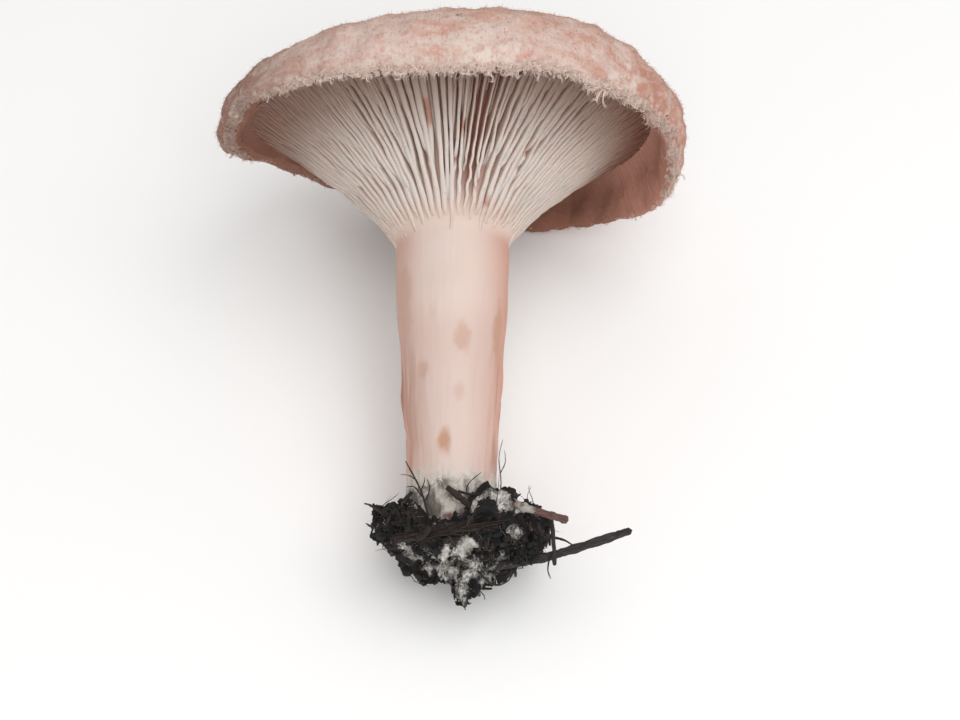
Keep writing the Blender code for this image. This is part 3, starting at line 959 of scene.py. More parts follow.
    def place(self, radius: np.ndarray, height: np.ndarray, angle: np.ndarray) -> np.ndarray:
        """Points of the cap at a radius, height and angle, moved by the rim's waves."""
        outward, upward = self.waves(angle)
        share = self.rim_share(radius)
        return spun(angle, radius + outward * share, height + upward * share)

    def rings(self, counts: dict[Part, int]) -> list[tuple[Part, float, float, float]]:
        """(part, share of it, radius, height) of every ring, from the dip's middle to the foot."""
        found = []
        for part in Part:
            last = part is Part.FOOT
            for i in range(counts[part] + last):
                share = i / counts[part]
                found.append((part, share, *self.point(part, share)))
        return found

    def point(self, part: Part, share: float) -> tuple[float, float]:
        """(radius, height) at a share of the way along a part."""
        quarter = math.pi / 2 * share
        if part is Part.TOP:
            rise = (1 - math.cos(math.pi * share)) / 2
            return self.crest_radius * share, self.dip_height + (self.crest_height - self.dip_height) * rise
        if part is Part.SHOULDER:
            radius = self.crest_radius + (self.cap_radius - self.crest_radius) * math.sin(quarter)
            return radius, self.widest_height + (self.crest_height - self.widest_height) * math.cos(quarter)
        if part is Part.LIP:
            middle = self.cap_radius - self.lip_width / 2
            turn = math.pi * share
            radius = middle + self.lip_width / 2 * math.cos(turn)
            return radius, self.widest_height - self.lip_drop * math.sin(turn)
        if part is Part.BED:
            radius, height = self.edge(1 - share)
            outward, upward = self.edge_normal(1 - share)
            depth = self.depth(1 - share)
            return float(radius + outward * depth), float(height + upward * depth)
        if part is Part.STEM:
            height = self.gill_foot_height + (self.foot_from - self.gill_foot_height) * share
            return float(self.stem_radius(height)), height
        radius = self.stem_low_radius * math.cos(quarter)
        return radius, self.foot_from + (self.foot_end - self.foot_from) * math.sin(quarter)


@dataclass(frozen=True)
class Pit:
    """A shallow tan pit in the stem: its place as the viewer sees it, its half sizes and its tone."""

    across: float
    height: float
    half_width: float
    half_height: float
    tone: float
    depth: float = 0.3


@dataclass
class FruitBody:
    """Cap and stem, one closed body: turned, then shaped ring by ring.

    Each stem zone, as in pale_below, is (where it starts, its length), and each woolly place round
    the rim is (degrees, half width).
    """

    outline: Outline = field(default_factory=Outline)
    ring_counts: tuple[int, ...] = (42, 26, 20, 34, 54, 20)
    columns: int = 400
    felt_coarse: float = 0.85
    felt_middle: float = 0.24
    felt_fine: float = 0.09
    tuft_short: float = 0.2
    tuft_long: float = 1.3
    wool_from: float = 1.6
    pits: tuple[Pit, ...] = (
        Pit(2.5, -27.4, 2.0, 3.4, 0.75, 0.2),
        Pit(-6.6, -34.1, 1.6, 2.4, 0.65, 0.2),
        Pit(1.6, -39.0, 1.4, 2.2, 0.45, 0.15),
        Pit(-1.6, -49.9, 1.7, 2.8, 1.2, 0.35),
        # The two tall pits at the stem's left and right edges are partly dents and partly painted shade on
        # the flanks.
        Pit(-11.0, -17.5, 3.4, 8.0, 0.55, 0.2),
        Pit(10.4, -25.0, 1.9, 7.0, 1.1, 0.25),
        Pit(-4.6, -21.6, 1.0, 1.8, 0.15, 0.1),
    )
    far_pits: int = 9
    pale_below: tuple[float, float] = (-1.0, 3.5)
    flushed_below: tuple[float, float] = (-16.0, 10.0)
    wrinkled_below: tuple[float, float] = (-22.0, 14.0)
    flush_fades_below: tuple[float, float] = (-40.0, 8.0)
    soiled_below: tuple[float, float] = (-52.0, 11.0)
    woolly_places: tuple[tuple[float, float], ...] = ((44, 7), (-66, 7), (8, 10))
    slit_at: tuple[float, float] = (-0.4, -66.0)
    grain_radius: float = 45.0

    def __post_init__(self) -> None:
        """Works out the rings and every point."""
        self.ring_list = self.outline.rings(dict(zip(Part, self.ring_counts)))
        self.angle = np.arange(self.columns) * 2 * math.pi / self.columns
        self.first = {}
        for i, (part, *_) in enumerate(self.ring_list):
            self.first.setdefault(part, i)
        self.grid, self.normal, self.marks = self.shaped()

    def of_part(self, *parts: Part) -> np.ndarray:
        """A column with 1 for each ring that is on one of the parts."""
        return np.array([[float(part in parts)] for part, *_ in self.ring_list])

    def shaped(self) -> tuple[np.ndarray, np.ndarray, dict[str, np.ndarray]]:
        """Every point, its outward normal and its marks, by ring and column."""
        shape = self.outline
        share, radius, height = np.array([row[1:] for row in self.ring_list]).T[..., None]
        angle = np.broadcast_to(self.angle[None], (len(radius), self.columns))
        hang = self.of_part(Part.LIP) * np.sin(math.pi * share)
        tufts = self.tufts(angle)
        high = self.of_part(Part.TOP, Part.SHOULDER) * np.maximum(height - shape.widest_height, 0)
        low = height + hang * (shape.lip_drop * shape.lip_lost(angle) - tufts)
        low = low - high * shape.shoulder_lost(angle)
        above_stem = height > shape.gill_foot_height
        base = shape.place(radius + 0 * angle, low, angle)
        base = np.where(above_stem[..., None], base, spun(angle, radius, low))
        normal = self.normals(base)
        gone = np.hypot(np.diff(radius, axis=0), np.diff(height, axis=0))
        reach = np.concatenate([[[0]], np.cumsum(gone, axis=0)])
        marks = self.marked(base, reach, share, height, angle)
        push = self.relief(base, marks, share)
        return base + normal * push[..., None], normal, marks

    def tufts(self, angle: np.ndarray) -> np.ndarray:
        """How far the matted wool hangs below the lip, uneven on three scales."""
        around = spun(angle, 1.0, 0.0)
        slow = hills(around * 4.5, 1.0, 1)
        quick = hills(around * 26.0, 1.0, 2, 5.0)
        fine = hills(around * 70.0, 1.0, 2, 9.0)
        tip = smooth(0.5 + quick) * 0.6 + smooth(0.5 + fine) * 0.4
        near = 1 - 0.75 * self.far_side(angle)
        return slow * 1.2 + (self.tuft_short + (self.tuft_long - self.tuft_short) * tip) * near

    def normals(self, base: np.ndarray) -> np.ndarray:
        """Outward directions of the grid of points."""
        along = np.gradient(base, axis=0)
        around = np.roll(base, -1, axis=1) - np.roll(base, 1, axis=1)
        return unit(np.cross(along, around)) * self.sign(base, along, around)

    @staticmethod
    def sign(base: np.ndarray, along: np.ndarray, around: np.ndarray) -> float:
        """1 or -1, so that the normals point out of the stem."""
        on_stem = -30
        outward = np.cross(along, around)[on_stem, :, :2]
        return float(np.sign(np.sum(outward * base[on_stem, :, :2])))

    def marked(
        self, base: np.ndarray, reach: np.ndarray, share: np.ndarray, height: np.ndarray, angle: np.ndarray
    ) -> dict[str, np.ndarray]:
        """The marks that the finishes read, by ring and column."""
        # side: the stem's left and right flanks, where the flesh paints shade.
        side = np.abs(np.sin(angle)) ** 3
        lip = self.of_part(Part.LIP)
        outside = self.of_part(Part.SHOULDER) * share + lip * (1 + 2 * share)
        bed = self.of_part(Part.BED) * (1 - smooth((share - 0.72) / 0.28))
        stem = self.of_part(Part.STEM, Part.FOOT)
        foot = stem * self.below(height, self.soiled_below)
        top = stem * (1 - self.below(height, self.pale_below)) + self.of_part(Part.BED)
        fading = 1 - 0.3 * self.below(height, self.flush_fades_below)
        flushed = stem * self.below(height, self.flushed_below) * fading
        wrinkled = stem * self.below(height, self.wrinkled_below) * (1 - foot)
        ragged = hills(base, 0.35, 3, 2.0)
        woolly = smooth((outside - self.wool_from + 0.7 * self.woolly_side(angle) + 0.6 * ragged) / 0.5)
        woolly = woolly * (1 - 0.8 * self.far_side(angle))
        # inner: the inside of the lip, painted as shade by the cap skin; it starts earlier on the far side.
        inside = smooth((share - 0.44 + 0.3 * self.far_side(angle)) / 0.2)
        inner = self.of_part(Part.BED) + lip * inside
        rim = self.of_part(Part.SHOULDER, Part.LIP) * smooth(outside / 0.4)
        found = {
            "reach": reach,
            "wool": np.clip(woolly * (1 - inner), 0, 1),
            "inner": np.clip(inner, 0, 1),
            "right": (1 + np.sin(angle)) / 2,
            "right_end": rim * self.side_share(angle, 16, 56),
            # left_end: where the cap skin paints shade at the rim's left end.
            "left_end": rim * self.side_share(-angle, 20, 82),
            "bed": bed,
            "apart": Gills().opened(angle),
            "top": np.clip(top, 0, 1),
            "foot": np.clip(foot * (1 + ragged * 0.9), 0, 1),
            "side": stem * side,
            "flushed": flushed,
            "wrinkled": wrinkled * side,
            "pit": self.pit_marks(base)[0],
            "slit": self.slit_mark(base),
        }
        return {name: np.broadcast_to(values, angle.shape) for name, values in found.items()}

    @staticmethod
    def below(height: np.ndarray, zone: tuple[float, float]) -> np.ndarray:
        """0 above a zone of the stem and 1 below it."""
        start, length = zone
        return smooth((start - height) / length)

    @staticmethod
    def side_share(angle: np.ndarray, low: float, high: float) -> np.ndarray:
        """0 before the low angle and 1 from the high one to the rim's far side, in degrees."""
        degrees = off_by(angle, 0)
        return smooth((degrees - low) / (high - low)) * smooth((190 - degrees) / 60)

    @staticmethod
    def far_side(angle: np.ndarray) -> np.ndarray:
        """0 on the near half of the rim and 1 on the far side, where the lip is almost bare of wool."""
        return smooth((-np.cos(angle) + 0.05) / 0.5)

    def woolly_side(self, angle: np.ndarray) -> np.ndarray:
        """Where the wool reaches further up the shoulder: the named places round the rim."""
        return np.maximum.reduce([bell(off_by(angle, middle), half) for middle, half in self.woolly_places])

    def slit_mark(self, base: np.ndarray) -> np.ndarray:
        """The narrow reddish slit that runs aslant across the near side of the foot."""
        x, height = self.slit_at
        across = base[..., 0] - x
        aside = base[..., 2] - height - across * 0.4
        near = base[..., 1] < 0
        return smooth(1.5 - np.hypot(across / 1.8, aside / 0.5)) * near

    def pit_list(self) -> Iterator[tuple[float, Pit]]:
        """(angle round the stem, pit) of those on the viewer's side, then of a few on the far side."""
        for pit in self.pits:
            radius = float(self.outline.stem_radius(pit.height)) + 0.6
            yield math.asin(pit.across / radius), pit
        for i in range(self.far_pits):
            angle = math.pi + (i - (self.far_pits - 1) / 2) * 0.36
            height = -12 - 36 * ((i * 0.618) % 1)
            yield angle, Pit(0.0, height, 1.2 + 0.5 * math.sin(i), 2.4 + math.cos(i * 2), 0.5, 0.2)

    def pit_marks(self, base: np.ndarray) -> tuple[np.ndarray, np.ndarray]:
        """(tone, depth) of the pits at every point."""
        tone = np.zeros(base.shape[:2])
        depth = np.zeros(base.shape[:2])
        ragged = hills(base, 0.5, 2, 7.0) * 0.35
        angle = angle_of(base)
        radius = np.hypot(base[..., 0], base[..., 1])
        for middle, pit in self.pit_list():
            off = (angle - middle + math.pi) % (2 * math.pi) - math.pi
            far = np.hypot(off * radius / pit.half_width, (base[..., 2] - pit.height) / pit.half_height)
            inside = smooth((1.3 + ragged - far) / 0.8)
            tone = np.maximum(tone, inside * pit.tone)
            depth = np.maximum(depth, inside * pit.depth)
        return tone, depth

    def relief(self, base: np.ndarray, marks: dict[str, np.ndarray], share: np.ndarray) -> np.ndarray:
        """How far each point is pushed out: felt on the rim, a calm dip, fibres and pits on the stem."""
        top = self.of_part(Part.TOP)
        rim = smooth(self.of_part(Part.SHOULDER, Part.LIP) + top * share**3)
        coarse, middle, fine = hills(base, 0.15, 2), hills(base, 0.42, 2, 3.0), hills(base, 1.3, 2, 6.0)
        ringed = np.sin(marks["reach"] * 2 * math.pi / RING_PITCH + coarse * 2)
        zones = ringed * 0.16 * top * smooth(share / 0.15)
        stem = self.of_part(Part.STEM, Part.FOOT)
        lengthwise = base * np.array([1, 1, 0.12])
        lines = hills(lengthwise, 0.6, 2, 4.0) * 0.05 + hills(base, 0.09, 1) * 0.45
        lines = lines + marks["wrinkled"] * hills(lengthwise, 0.75, 2, 8.0) * 0.45
        woolly_foot = marks["foot"] * np.maximum(hills(base, 0.6, 3, 6.0), -0.2) * 0.8
        pole = smooth(np.hypot(base[..., 0], base[..., 1]) / 2)
        felt = rim * (coarse * self.felt_coarse + middle * self.felt_middle + fine * self.felt_fine)
        calm = top * (1 - rim) * (coarse * 0.3 + middle * 0.12)
        return (felt + calm + zones + stem * (lines + woolly_foot - self.pit_marks(base)[1])) * pole

    def stock(self) -> Stock:
        """The turned body with each vertex moved to its place on the grid."""
        rows = self.ring_list
        body = Bench.lathe([(row[2], row[3]) for row in rows], self.columns)
        where = np.array([(row[2], row[3]) for row in rows])
        flat = np.stack([np.hypot(body.points[:, 0], body.points[:, 1]), body.points[:, 2]], axis=1)
        ring = np.array([np.argmin(np.abs(where - spot).sum(1)) for spot in flat])
        angle = angle_of(body.points) % (2 * math.pi)
        column = np.rint(angle / (2 * math.pi) * self.columns).astype(int) % self.columns
        marks = {name: values[ring, column] for name, values in self.marks.items()}
        grain = spun(self.angle[column], self.grain_radius, marks["reach"])
        return Stock(self.grid[ring, column], body.faces, {**marks, "grain": grain})

    def build(self) -> None:
        """Makes the cap's skin and the flesh, one mesh with two finishes."""
        stock = self.stock()
        skin, flesh = CapSkin(), Flesh()
        body = Piece.make("fruit_flesh", stock, "mushroom_flesh", ("fruit_body",), skin, flesh)
        bed_starts = self.marks["reach"][self.first[Part.BED], 0]
        reach = stock.marks["reach"]
        for polygon in body.data.polygons:
            below = min(reach[corner] for corner in polygon.vertices) >= bed_starts
            polygon.material_index = int(below)


@dataclass(frozen=True)
class GillKind:
    """One kind of gill: how many, where they start, how high they stand and how much room they fill."""

    name: str
    count: int
    offset: float
    start: float
    start_spread: float
    rises_over: float
    stations: int
    level: float
    fills: float
    forks: float = 0.0


@dataclass(frozen=True)
class Wound:
    """A hurt place in the gills: its angle in degrees, its share of the way out, and its size."""

    angle: float
    share: float
    half_angle: float
    half_share: float


@dataclass
class Gills:
    """The gills: waved blades that stand out of the flesh, some forked, some short, some low."""

    outline: Outline = field(default_factory=Outline)
    sink: float = 0.7
    proud: float = 0.4
    ends_at: float = 1.6
    down_stem: float = 90.0
    low_if_crowded: float = 0.08
    rim_recess: float = 1.6
    rows: int = 4
    thickest: float = 2.0
    opened_at: float = 12.0
    opened_half: float = 9.0
    broad_at: float = -9.0
    broad_half: float = 12.0
    kinds: tuple[GillKind, ...] = (
        GillKind("gills_long", 64, 0.0, -0.01, 0.035, 0.10, 50, 1.0, 0.98),
        GillKind("gills_middle", 64, 0.5, 0.14, 0.10, 0.16, 40, 0.92, 0.94, 0.6),
        GillKind("gills_short", 128, 0.25, 0.34, 0.16, 0.20, 26, 0.35, 0.60, 0.2),
        GillKind("gills_rim", 256, 0.125, 0.62, 0.12, 0.12, 12, 0.30, 0.30),
    )
    wounds: tuple[Wound, ...] = (
        Wound(-13.9, 0.33, 2.0, 0.03),
        Wound(-9.0, 0.60, 0.8, 0.09),
        Wound(5.8, 0.50, 0.8, 0.06),
        Wound(9.5, 0.66, 0.8, 0.08),
        Wound(21.3, 0.50, 1.2, 0.03),
        Wound(39.9, 0.41, 1.5, 0.025),
        Wound(37.8, 0.315, 1.4, 0.022),
        Wound(2.5, 0.30, 1.2, 0.025),
        Wound(31.0, 0.185, 2.2, 0.025),
        Wound(17.4, 0.193, 2.2, 0.03),
        Wound(29.0, 0.108, 2.2, 0.022),
        Wound(-42.0, 0.30, 1.6, 0.02),
    )

    def lines(self, kind: GillKind, rng: np.random.Generator) -> tuple[np.ndarray, np.ndarray, np.ndarray]:
        """Each gill's angle, its start and the angle that its inner end bends to."""
        pitch = 2 * math.pi / kind.count
        angle = (np.arange(kind.count) + kind.offset) * pitch + rng.normal(0, 0.05, kind.count) * pitch
        start = kind.start + rng.uniform(-1, 1, kind.count) * kind.start_spread
        forked = rng.uniform(size=kind.count) < kind.forks
        bend = np.where(forked, rng.choice([-0.5, 0.5], kind.count) * pitch * 0.9, 0.0)
        return angle, start, bend

    def thickness(
        self, kind: GillKind, angle: np.ndarray, share: np.ndarray, radius: np.ndarray, out: np.ndarray
    ) -> np.ndarray:
        """How thick a gill is: a wedge that fills its room at the root and is thinner at its edge."""
        apart = self.opened(angle)
        broad = self.near(angle, self.broad_at, self.broad_half)
        first = 64 * (1 + smooth((share - 0.12) / 0.2))
        pitch = 2 * math.pi * radius / first
        fine = pitch / (1 + smooth((share - 0.36) / 0.15) * (1 - broad))
        root = np.minimum(pitch * kind.fills, self.thickest) * (1 - 0.35 * apart)
        edge = np.minimum(root, fine * (0.74 - 0.36 * apart))
        slim = 0.78 + 0.22 * smooth(share / 0.14)
        return (root + (edge - root) * smooth(out * 1.05) ** 0.8) * slim * (1 - 0.5 * smooth(share - 1))

    def stock(self, kind: GillKind, rng: np.random.Generator) -> Stock:
        """All gills of one kind, each blade bent to its own line."""
        shape = self.outline
        blade = Bench.blade(kind.stations, self.rows)
        along, out, side = blade.points.T
        side = side * 2 - 1
        angle, start, bend = (values[:, None] for values in self.lines(kind, rng))
        share = start + (self.ends_at - start) * along[None] ** 1.1
        inner = (share - start) / kind.rises_over
        radius, height = shape.edge(share)
        height = height + shape.wall_drop * smooth(share - 1) * shape.lip_lost(angle)
        outward, upward = shape.edge_normal(share)
        beyond = np.minimum(share, 0.0) * self.down_stem
        bed = shape.depth(share)
        sparse = np.maximum(self.opened(angle), self.near(angle, self.broad_at, self.broad_half))
        shown = self.low_if_crowded + (1 - self.low_if_crowded) * sparse
        raised = smooth(inner) * (1 - (1 - kind.level) * shown)
        deep, wave = self.uneven(kind, angle, share)
        crest = bed * (1 - raised) - self.proud * raised * (1 - smooth(share / 0.25)) + deep * raised
        crest = crest + self.hurt(angle, share) * np.minimum(bed * 0.4, 1.0)
        crest = crest + smooth((share - 0.92) / 0.32) * self.rim_recess + 0.5 * (1 - smooth(inner * 3))
        level = 1 - (1 - out[None]) ** 1.2
        depth = crest + (1 - level) * (bed + self.sink - crest)
        half = self.thickness(kind, angle, share, radius, out[None]) / 2
        sideways = side[None] * half + wave
        turn = angle + bend * (1 - smooth(inner / 2.2)) + sideways / radius
        points = shape.place(radius + outward * depth, height + upward * depth + beyond, turn)
        marks = {
            "out": out[None],
            "run": np.clip(share, 0, 2),
            "wound": np.clip(self.hurt(angle, share) * 1.2, 0, 1),
            # side: where the gill skin paints shade at the left and right.
            "side": np.sin(angle) ** 2,
            "apart": self.opened(angle),
        }
        whole = {name: np.broadcast_to(values, share.shape).reshape(-1) for name, values in marks.items()}
        return Copies(blade).filled(points, whole)

    def uneven(self, kind: GillKind, angle: np.ndarray, share: np.ndarray) -> tuple[np.ndarray, np.ndarray]:
        """(depth, sideways) waves of each blade, in millimetres."""
        tag = angle * 40 + kind.offset * 13
        deep = 0.14 * np.sin(share * 19 + tag * 1.7) + 0.07 * np.sin(share * 53 + tag * 3.1)
        wave = 0.10 * np.sin(share * 7 + tag * 2.3) + 0.03 * np.sin(share * 31 + tag * 5.7)
        crimped = bell(share - 0.2, 0.14) * self.opened(angle)
        curly_foot = bell(share - 0.01, 0.05)
        return deep, wave + (0.24 * crimped + 0.2 * curly_foot) * np.sin(share * 60 + tag * 3.3)

    @staticmethod
    def near(angle: np.ndarray, middle: float, half: float) -> np.ndarray:
        """1 at the middle angle and 0 far from it, in degrees."""
        return bell(off_by(angle, middle), half)

    def opened(self, angle: np.ndarray) -> np.ndarray:
        """1 where the gills are thin and stand apart with deep gaps, and 0 far off."""
        return self.near(angle, self.opened_at, self.opened_half)

    def hurt(self, angle: np.ndarray, share: np.ndarray) -> np.ndarray:
        """How hurt the gills are at a place, 0 to 1."""
        worst = np.zeros(np.broadcast(angle, share).shape)
        for wound in self.wounds:
            aside = off_by(angle, wound.angle) / wound.half_angle
            far = np.hypot(aside, (share - wound.share) / wound.half_share)
            worst = np.maximum(worst, smooth(1.4 - far))
        return worst

    def build(self) -> None:
        """Makes one piece for each kind."""
        rng = np.random.default_rng(5)
        finish = GillSkin()
        for kind in self.kinds:
            Piece.make(kind.name, self.stock(kind, rng), "mushroom_flesh", ("fruit_body",), finish)


@dataclass
class RimWool:
    """The wool of the rim: hooked locks at the lip, single threads, and short fibres on the skin."""

    body: FruitBody
    locks: int = 260
    threads_a_lock: int = 6
    single: int = 1500
    pieces: int = 2
    rings: int = 7
    radius: float = 0.06
    bare_far: float = 0.93
    lying_share: float = 0.5
    lip_rings: tuple[int, int] = (6, 12)
    length: float = 2.0
    fibres: int = 6000
    fibre_rings: int = 3
    fibre_radius: float = 0.036

    def roots(
        self, rng: np.random.Generator, count: int, low: float, high: float
    ) -> tuple[np.ndarray, np.ndarray, np.ndarray]:
        """Places on the body between two rings: (point, normal, direction towards the lip)."""
        grid, normal = self.body.grid, self.body.normal
        ring = rng.uniform(low, high, count)
        column = rng.integers(0, self.body.columns, 6 * count)
        bare = self.body.far_side(self.body.angle[column]) * self.bare_far
        column = column[rng.uniform(size=6 * count) > bare][:count]
        below = ring.astype(int)
        part = (ring - below)[:, None]
        point = grid[below, column] * (1 - part) + grid[below + 1, column] * part
        onward = unit(grid[below + 1, column] - grid[below, column])
        return point, normal[below, column], onward

    def curled(
        self,
        rng: np.random.Generator,
        start: np.ndarray,
        way: np.ndarray,
        length: np.ndarray,
        curl: np.ndarray,
        turns: np.ndarray,
    ) -> np.ndarray:
        """Lines that curl more and more towards their tips.

        Args:
            rng: where the rolls come from.
            start: where each line begins.
            way: its direction.
            length: its length along that direction.
            curl: the radius of its curls.
            turns: how often it curls.

        Returns:
            One row of points for each line.
        """
        step = steps(self.rings)
        side = unit(np.cross(way, rng.normal(size=way.shape)))[:, None]
        third = np.cross(way[:, None], side)
        roll = rng.uniform(0, 2 * math.pi, (len(start), 1, 1))
        phase = roll + step**1.2 * turns[:, None, None] * 2 * math.pi
        swing = curl[:, None, None] * step**0.8
        wander = unit(rng.normal(size=way.shape))[:, None] * (length * 0.35)[:, None, None] * step**2
        ahead = step - 0.3 * step**3
        middle = start[:, None] + way[:, None] * length[:, None, None] * ahead + wander
        flat = side * np.cos(phase) + (third * 0.5 + way[:, None] * 0.9) * np.sin(phase)
        return middle + swing * flat

    def hanging(
        self, rng: np.random.Generator, count: int
    ) -> tuple[np.ndarray, np.ndarray, np.ndarray, np.ndarray]:
        """Roots at the lip: (point, normal, direction, length), longer and more downward in some places."""
        low, high = (self.body.first[Part.LIP] + ring for ring in self.lip_rings)
        point, normal, onward = self.roots(rng, count, low, high)
        tuft = hills(point, 0.3, 2, 11.0)[:, None]
        down = np.array([[0.0, 0.0, -1.0]])
        lying = (rng.uniform(size=(count, 1)) < self.lying_share) * rng.choice([-1.0, 1.0], (count, 1))
        aside = np.cross(normal, onward) * lying * 1.3
        droop = down * (0.6 + tuft) * (1 - 0.7 * np.abs(lying))
        way = unit(onward * 0.3 + droop + aside + normal * 0.6 + rng.normal(0, 0.4, point.shape))
        length = rng.uniform(0.4, 1, count) ** 2 * self.length * (1 + 0.9 * tuft[:, 0])
        length = length * (1 - 0.45 * self.left_end(point)) * (1 + 0.5 * np.abs(lying[:, 0]))
        length = length * (1 - 0.5 * self.body.far_side(angle_of(point)))
        return point, normal, way, length

    def left_end(self, point: np.ndarray) -> np.ndarray:
        """1 at the rim's left end, where the wool is short."""
        return self.body.side_share(-angle_of(point), 30, 62)

    def end_shade(self, point: np.ndarray) -> np.ndarray:
        """How much painted shade from the rim's left and right end there is at each point, half as much on
        the right.
        """
        angle = angle_of(point)
        right = self.body.side_share(angle, 30, 75) * 0.5
        return np.maximum(self.body.side_share(-angle, 26, 75), right)

    @staticmethod
    def lifted(lines: np.ndarray, point: np.ndarray, normal: np.ndarray) -> np.ndarray:
        """The lines with every point but the first kept above the skin that they grow from."""
        high = np.einsum("nij,nj->ni", lines - point[:, None], normal)
        floor = np.linspace(-0.15, 0.28, lines.shape[1])[None]
        return lines + normal[:, None] * np.maximum(floor - high, 0)[..., None]

    def hooked(
        self,
        rng: np.random.Generator,
        count: int,
        curls: tuple[float, float],
        turns: tuple[float, float],
    ) -> np.ndarray:
        """Lines that hang from the lip and curl.

        Args:
            rng: where the choice comes from.
            count: how many lines.
            curls: the least and the greatest radius of their curls.
            turns: how often they curl, at least and at most.

        Returns:
            One row of points for each line.
        """
        point, normal, way, length = self.hanging(rng, count)
        curl = rng.uniform(*curls, count)
        lines = self.curled(rng, point, way, length, curl, rng.uniform(*turns, count))
        return self.lifted(lines, point, normal)

    def fringe(self, rng: np.random.Generator) -> Stock:
        """Locks of threads that hook together, and single threads between them."""
        paths = self.hooked(rng, self.locks, (0.3, 0.95), (0.6, 1.6))
        many = np.repeat(paths, self.threads_a_lock, axis=0)
        spread = rng.normal(0, 0.1, (len(many), 1, 3)) + np.cumsum(rng.normal(0, 0.035, many.shape), axis=1)
        loose = self.hooked(rng, self.single, (0.2, 0.7), (0.5, 2.2))
        lines = np.concatenate([many + spread, loose])
        shrink = np.linspace(1, 0.45, self.rings + 1)
        widths = self.radius * rng.uniform(0.7, 1.2, (len(lines), 1)) * shrink
        made = Copies(Bench.strand(3, self.rings)).along(lines, widths, rng)
        # end: painted shade at the rim's left and right end.
        made.marks["end"] = self.end_shade(made.points)
        return made

    def fuzz(self, rng: np.random.Generator) -> Stock:
        """Short fibres that lie on the shoulder and stand up a little."""
        first, count = self.body.first, self.fibres
        point, normal, onward = self.roots(rng, count, first[Part.TOP] + 34, first[Part.LIP] + 8)
        away = rng.uniform(0.3, 0.9, (count, 1))
        way = unit(onward * rng.uniform(0.2, 1, (count, 1)) + normal * away + rng.normal(0, 0.4, point.shape))
        length = rng.uniform(0.4, 1.4, count)
        short = RimWool(self.body, rings=self.fibre_rings)
        lines = short.curled(rng, point, way, length, length * 0.2, length * 0.6)
        lines = self.lifted(lines, point, normal)
        shrink = np.linspace(1, 0.4, short.rings + 1)
        widths = self.fibre_radius * rng.uniform(0.7, 1.3, (count, 1)) * shrink
        made = Copies(Bench.strand(3, short.rings)).along(lines, widths, rng)
        made.marks["end"] = self.end_shade(made.points)
        return made

    def build(self) -> None:
        """Makes the fringe in a few pieces and the fuzz in one."""
        rng = np.random.default_rng(12)
        # The third tone of each wool is its painted shade at the rim's left and right end.
        finish = Wool("rim_wool", paint(228, 203, 190), paint(246, 229, 219), paint(186, 156, 140))
        short = Wool("skin_fibres", paint(186, 146, 127), paint(222, 196, 180), paint(170, 130, 112))
        for i in range(self.pieces):
            name = f"rim_wool_{i + 1}"
            Piece.make(name, self.fringe(rng), "mushroom_flesh", ("fruit_body",), finish, flat=True)
        Piece.make("rim_fuzz", self.fuzz(rng), "mushroom_flesh", ("fruit_body",), short, flat=True)


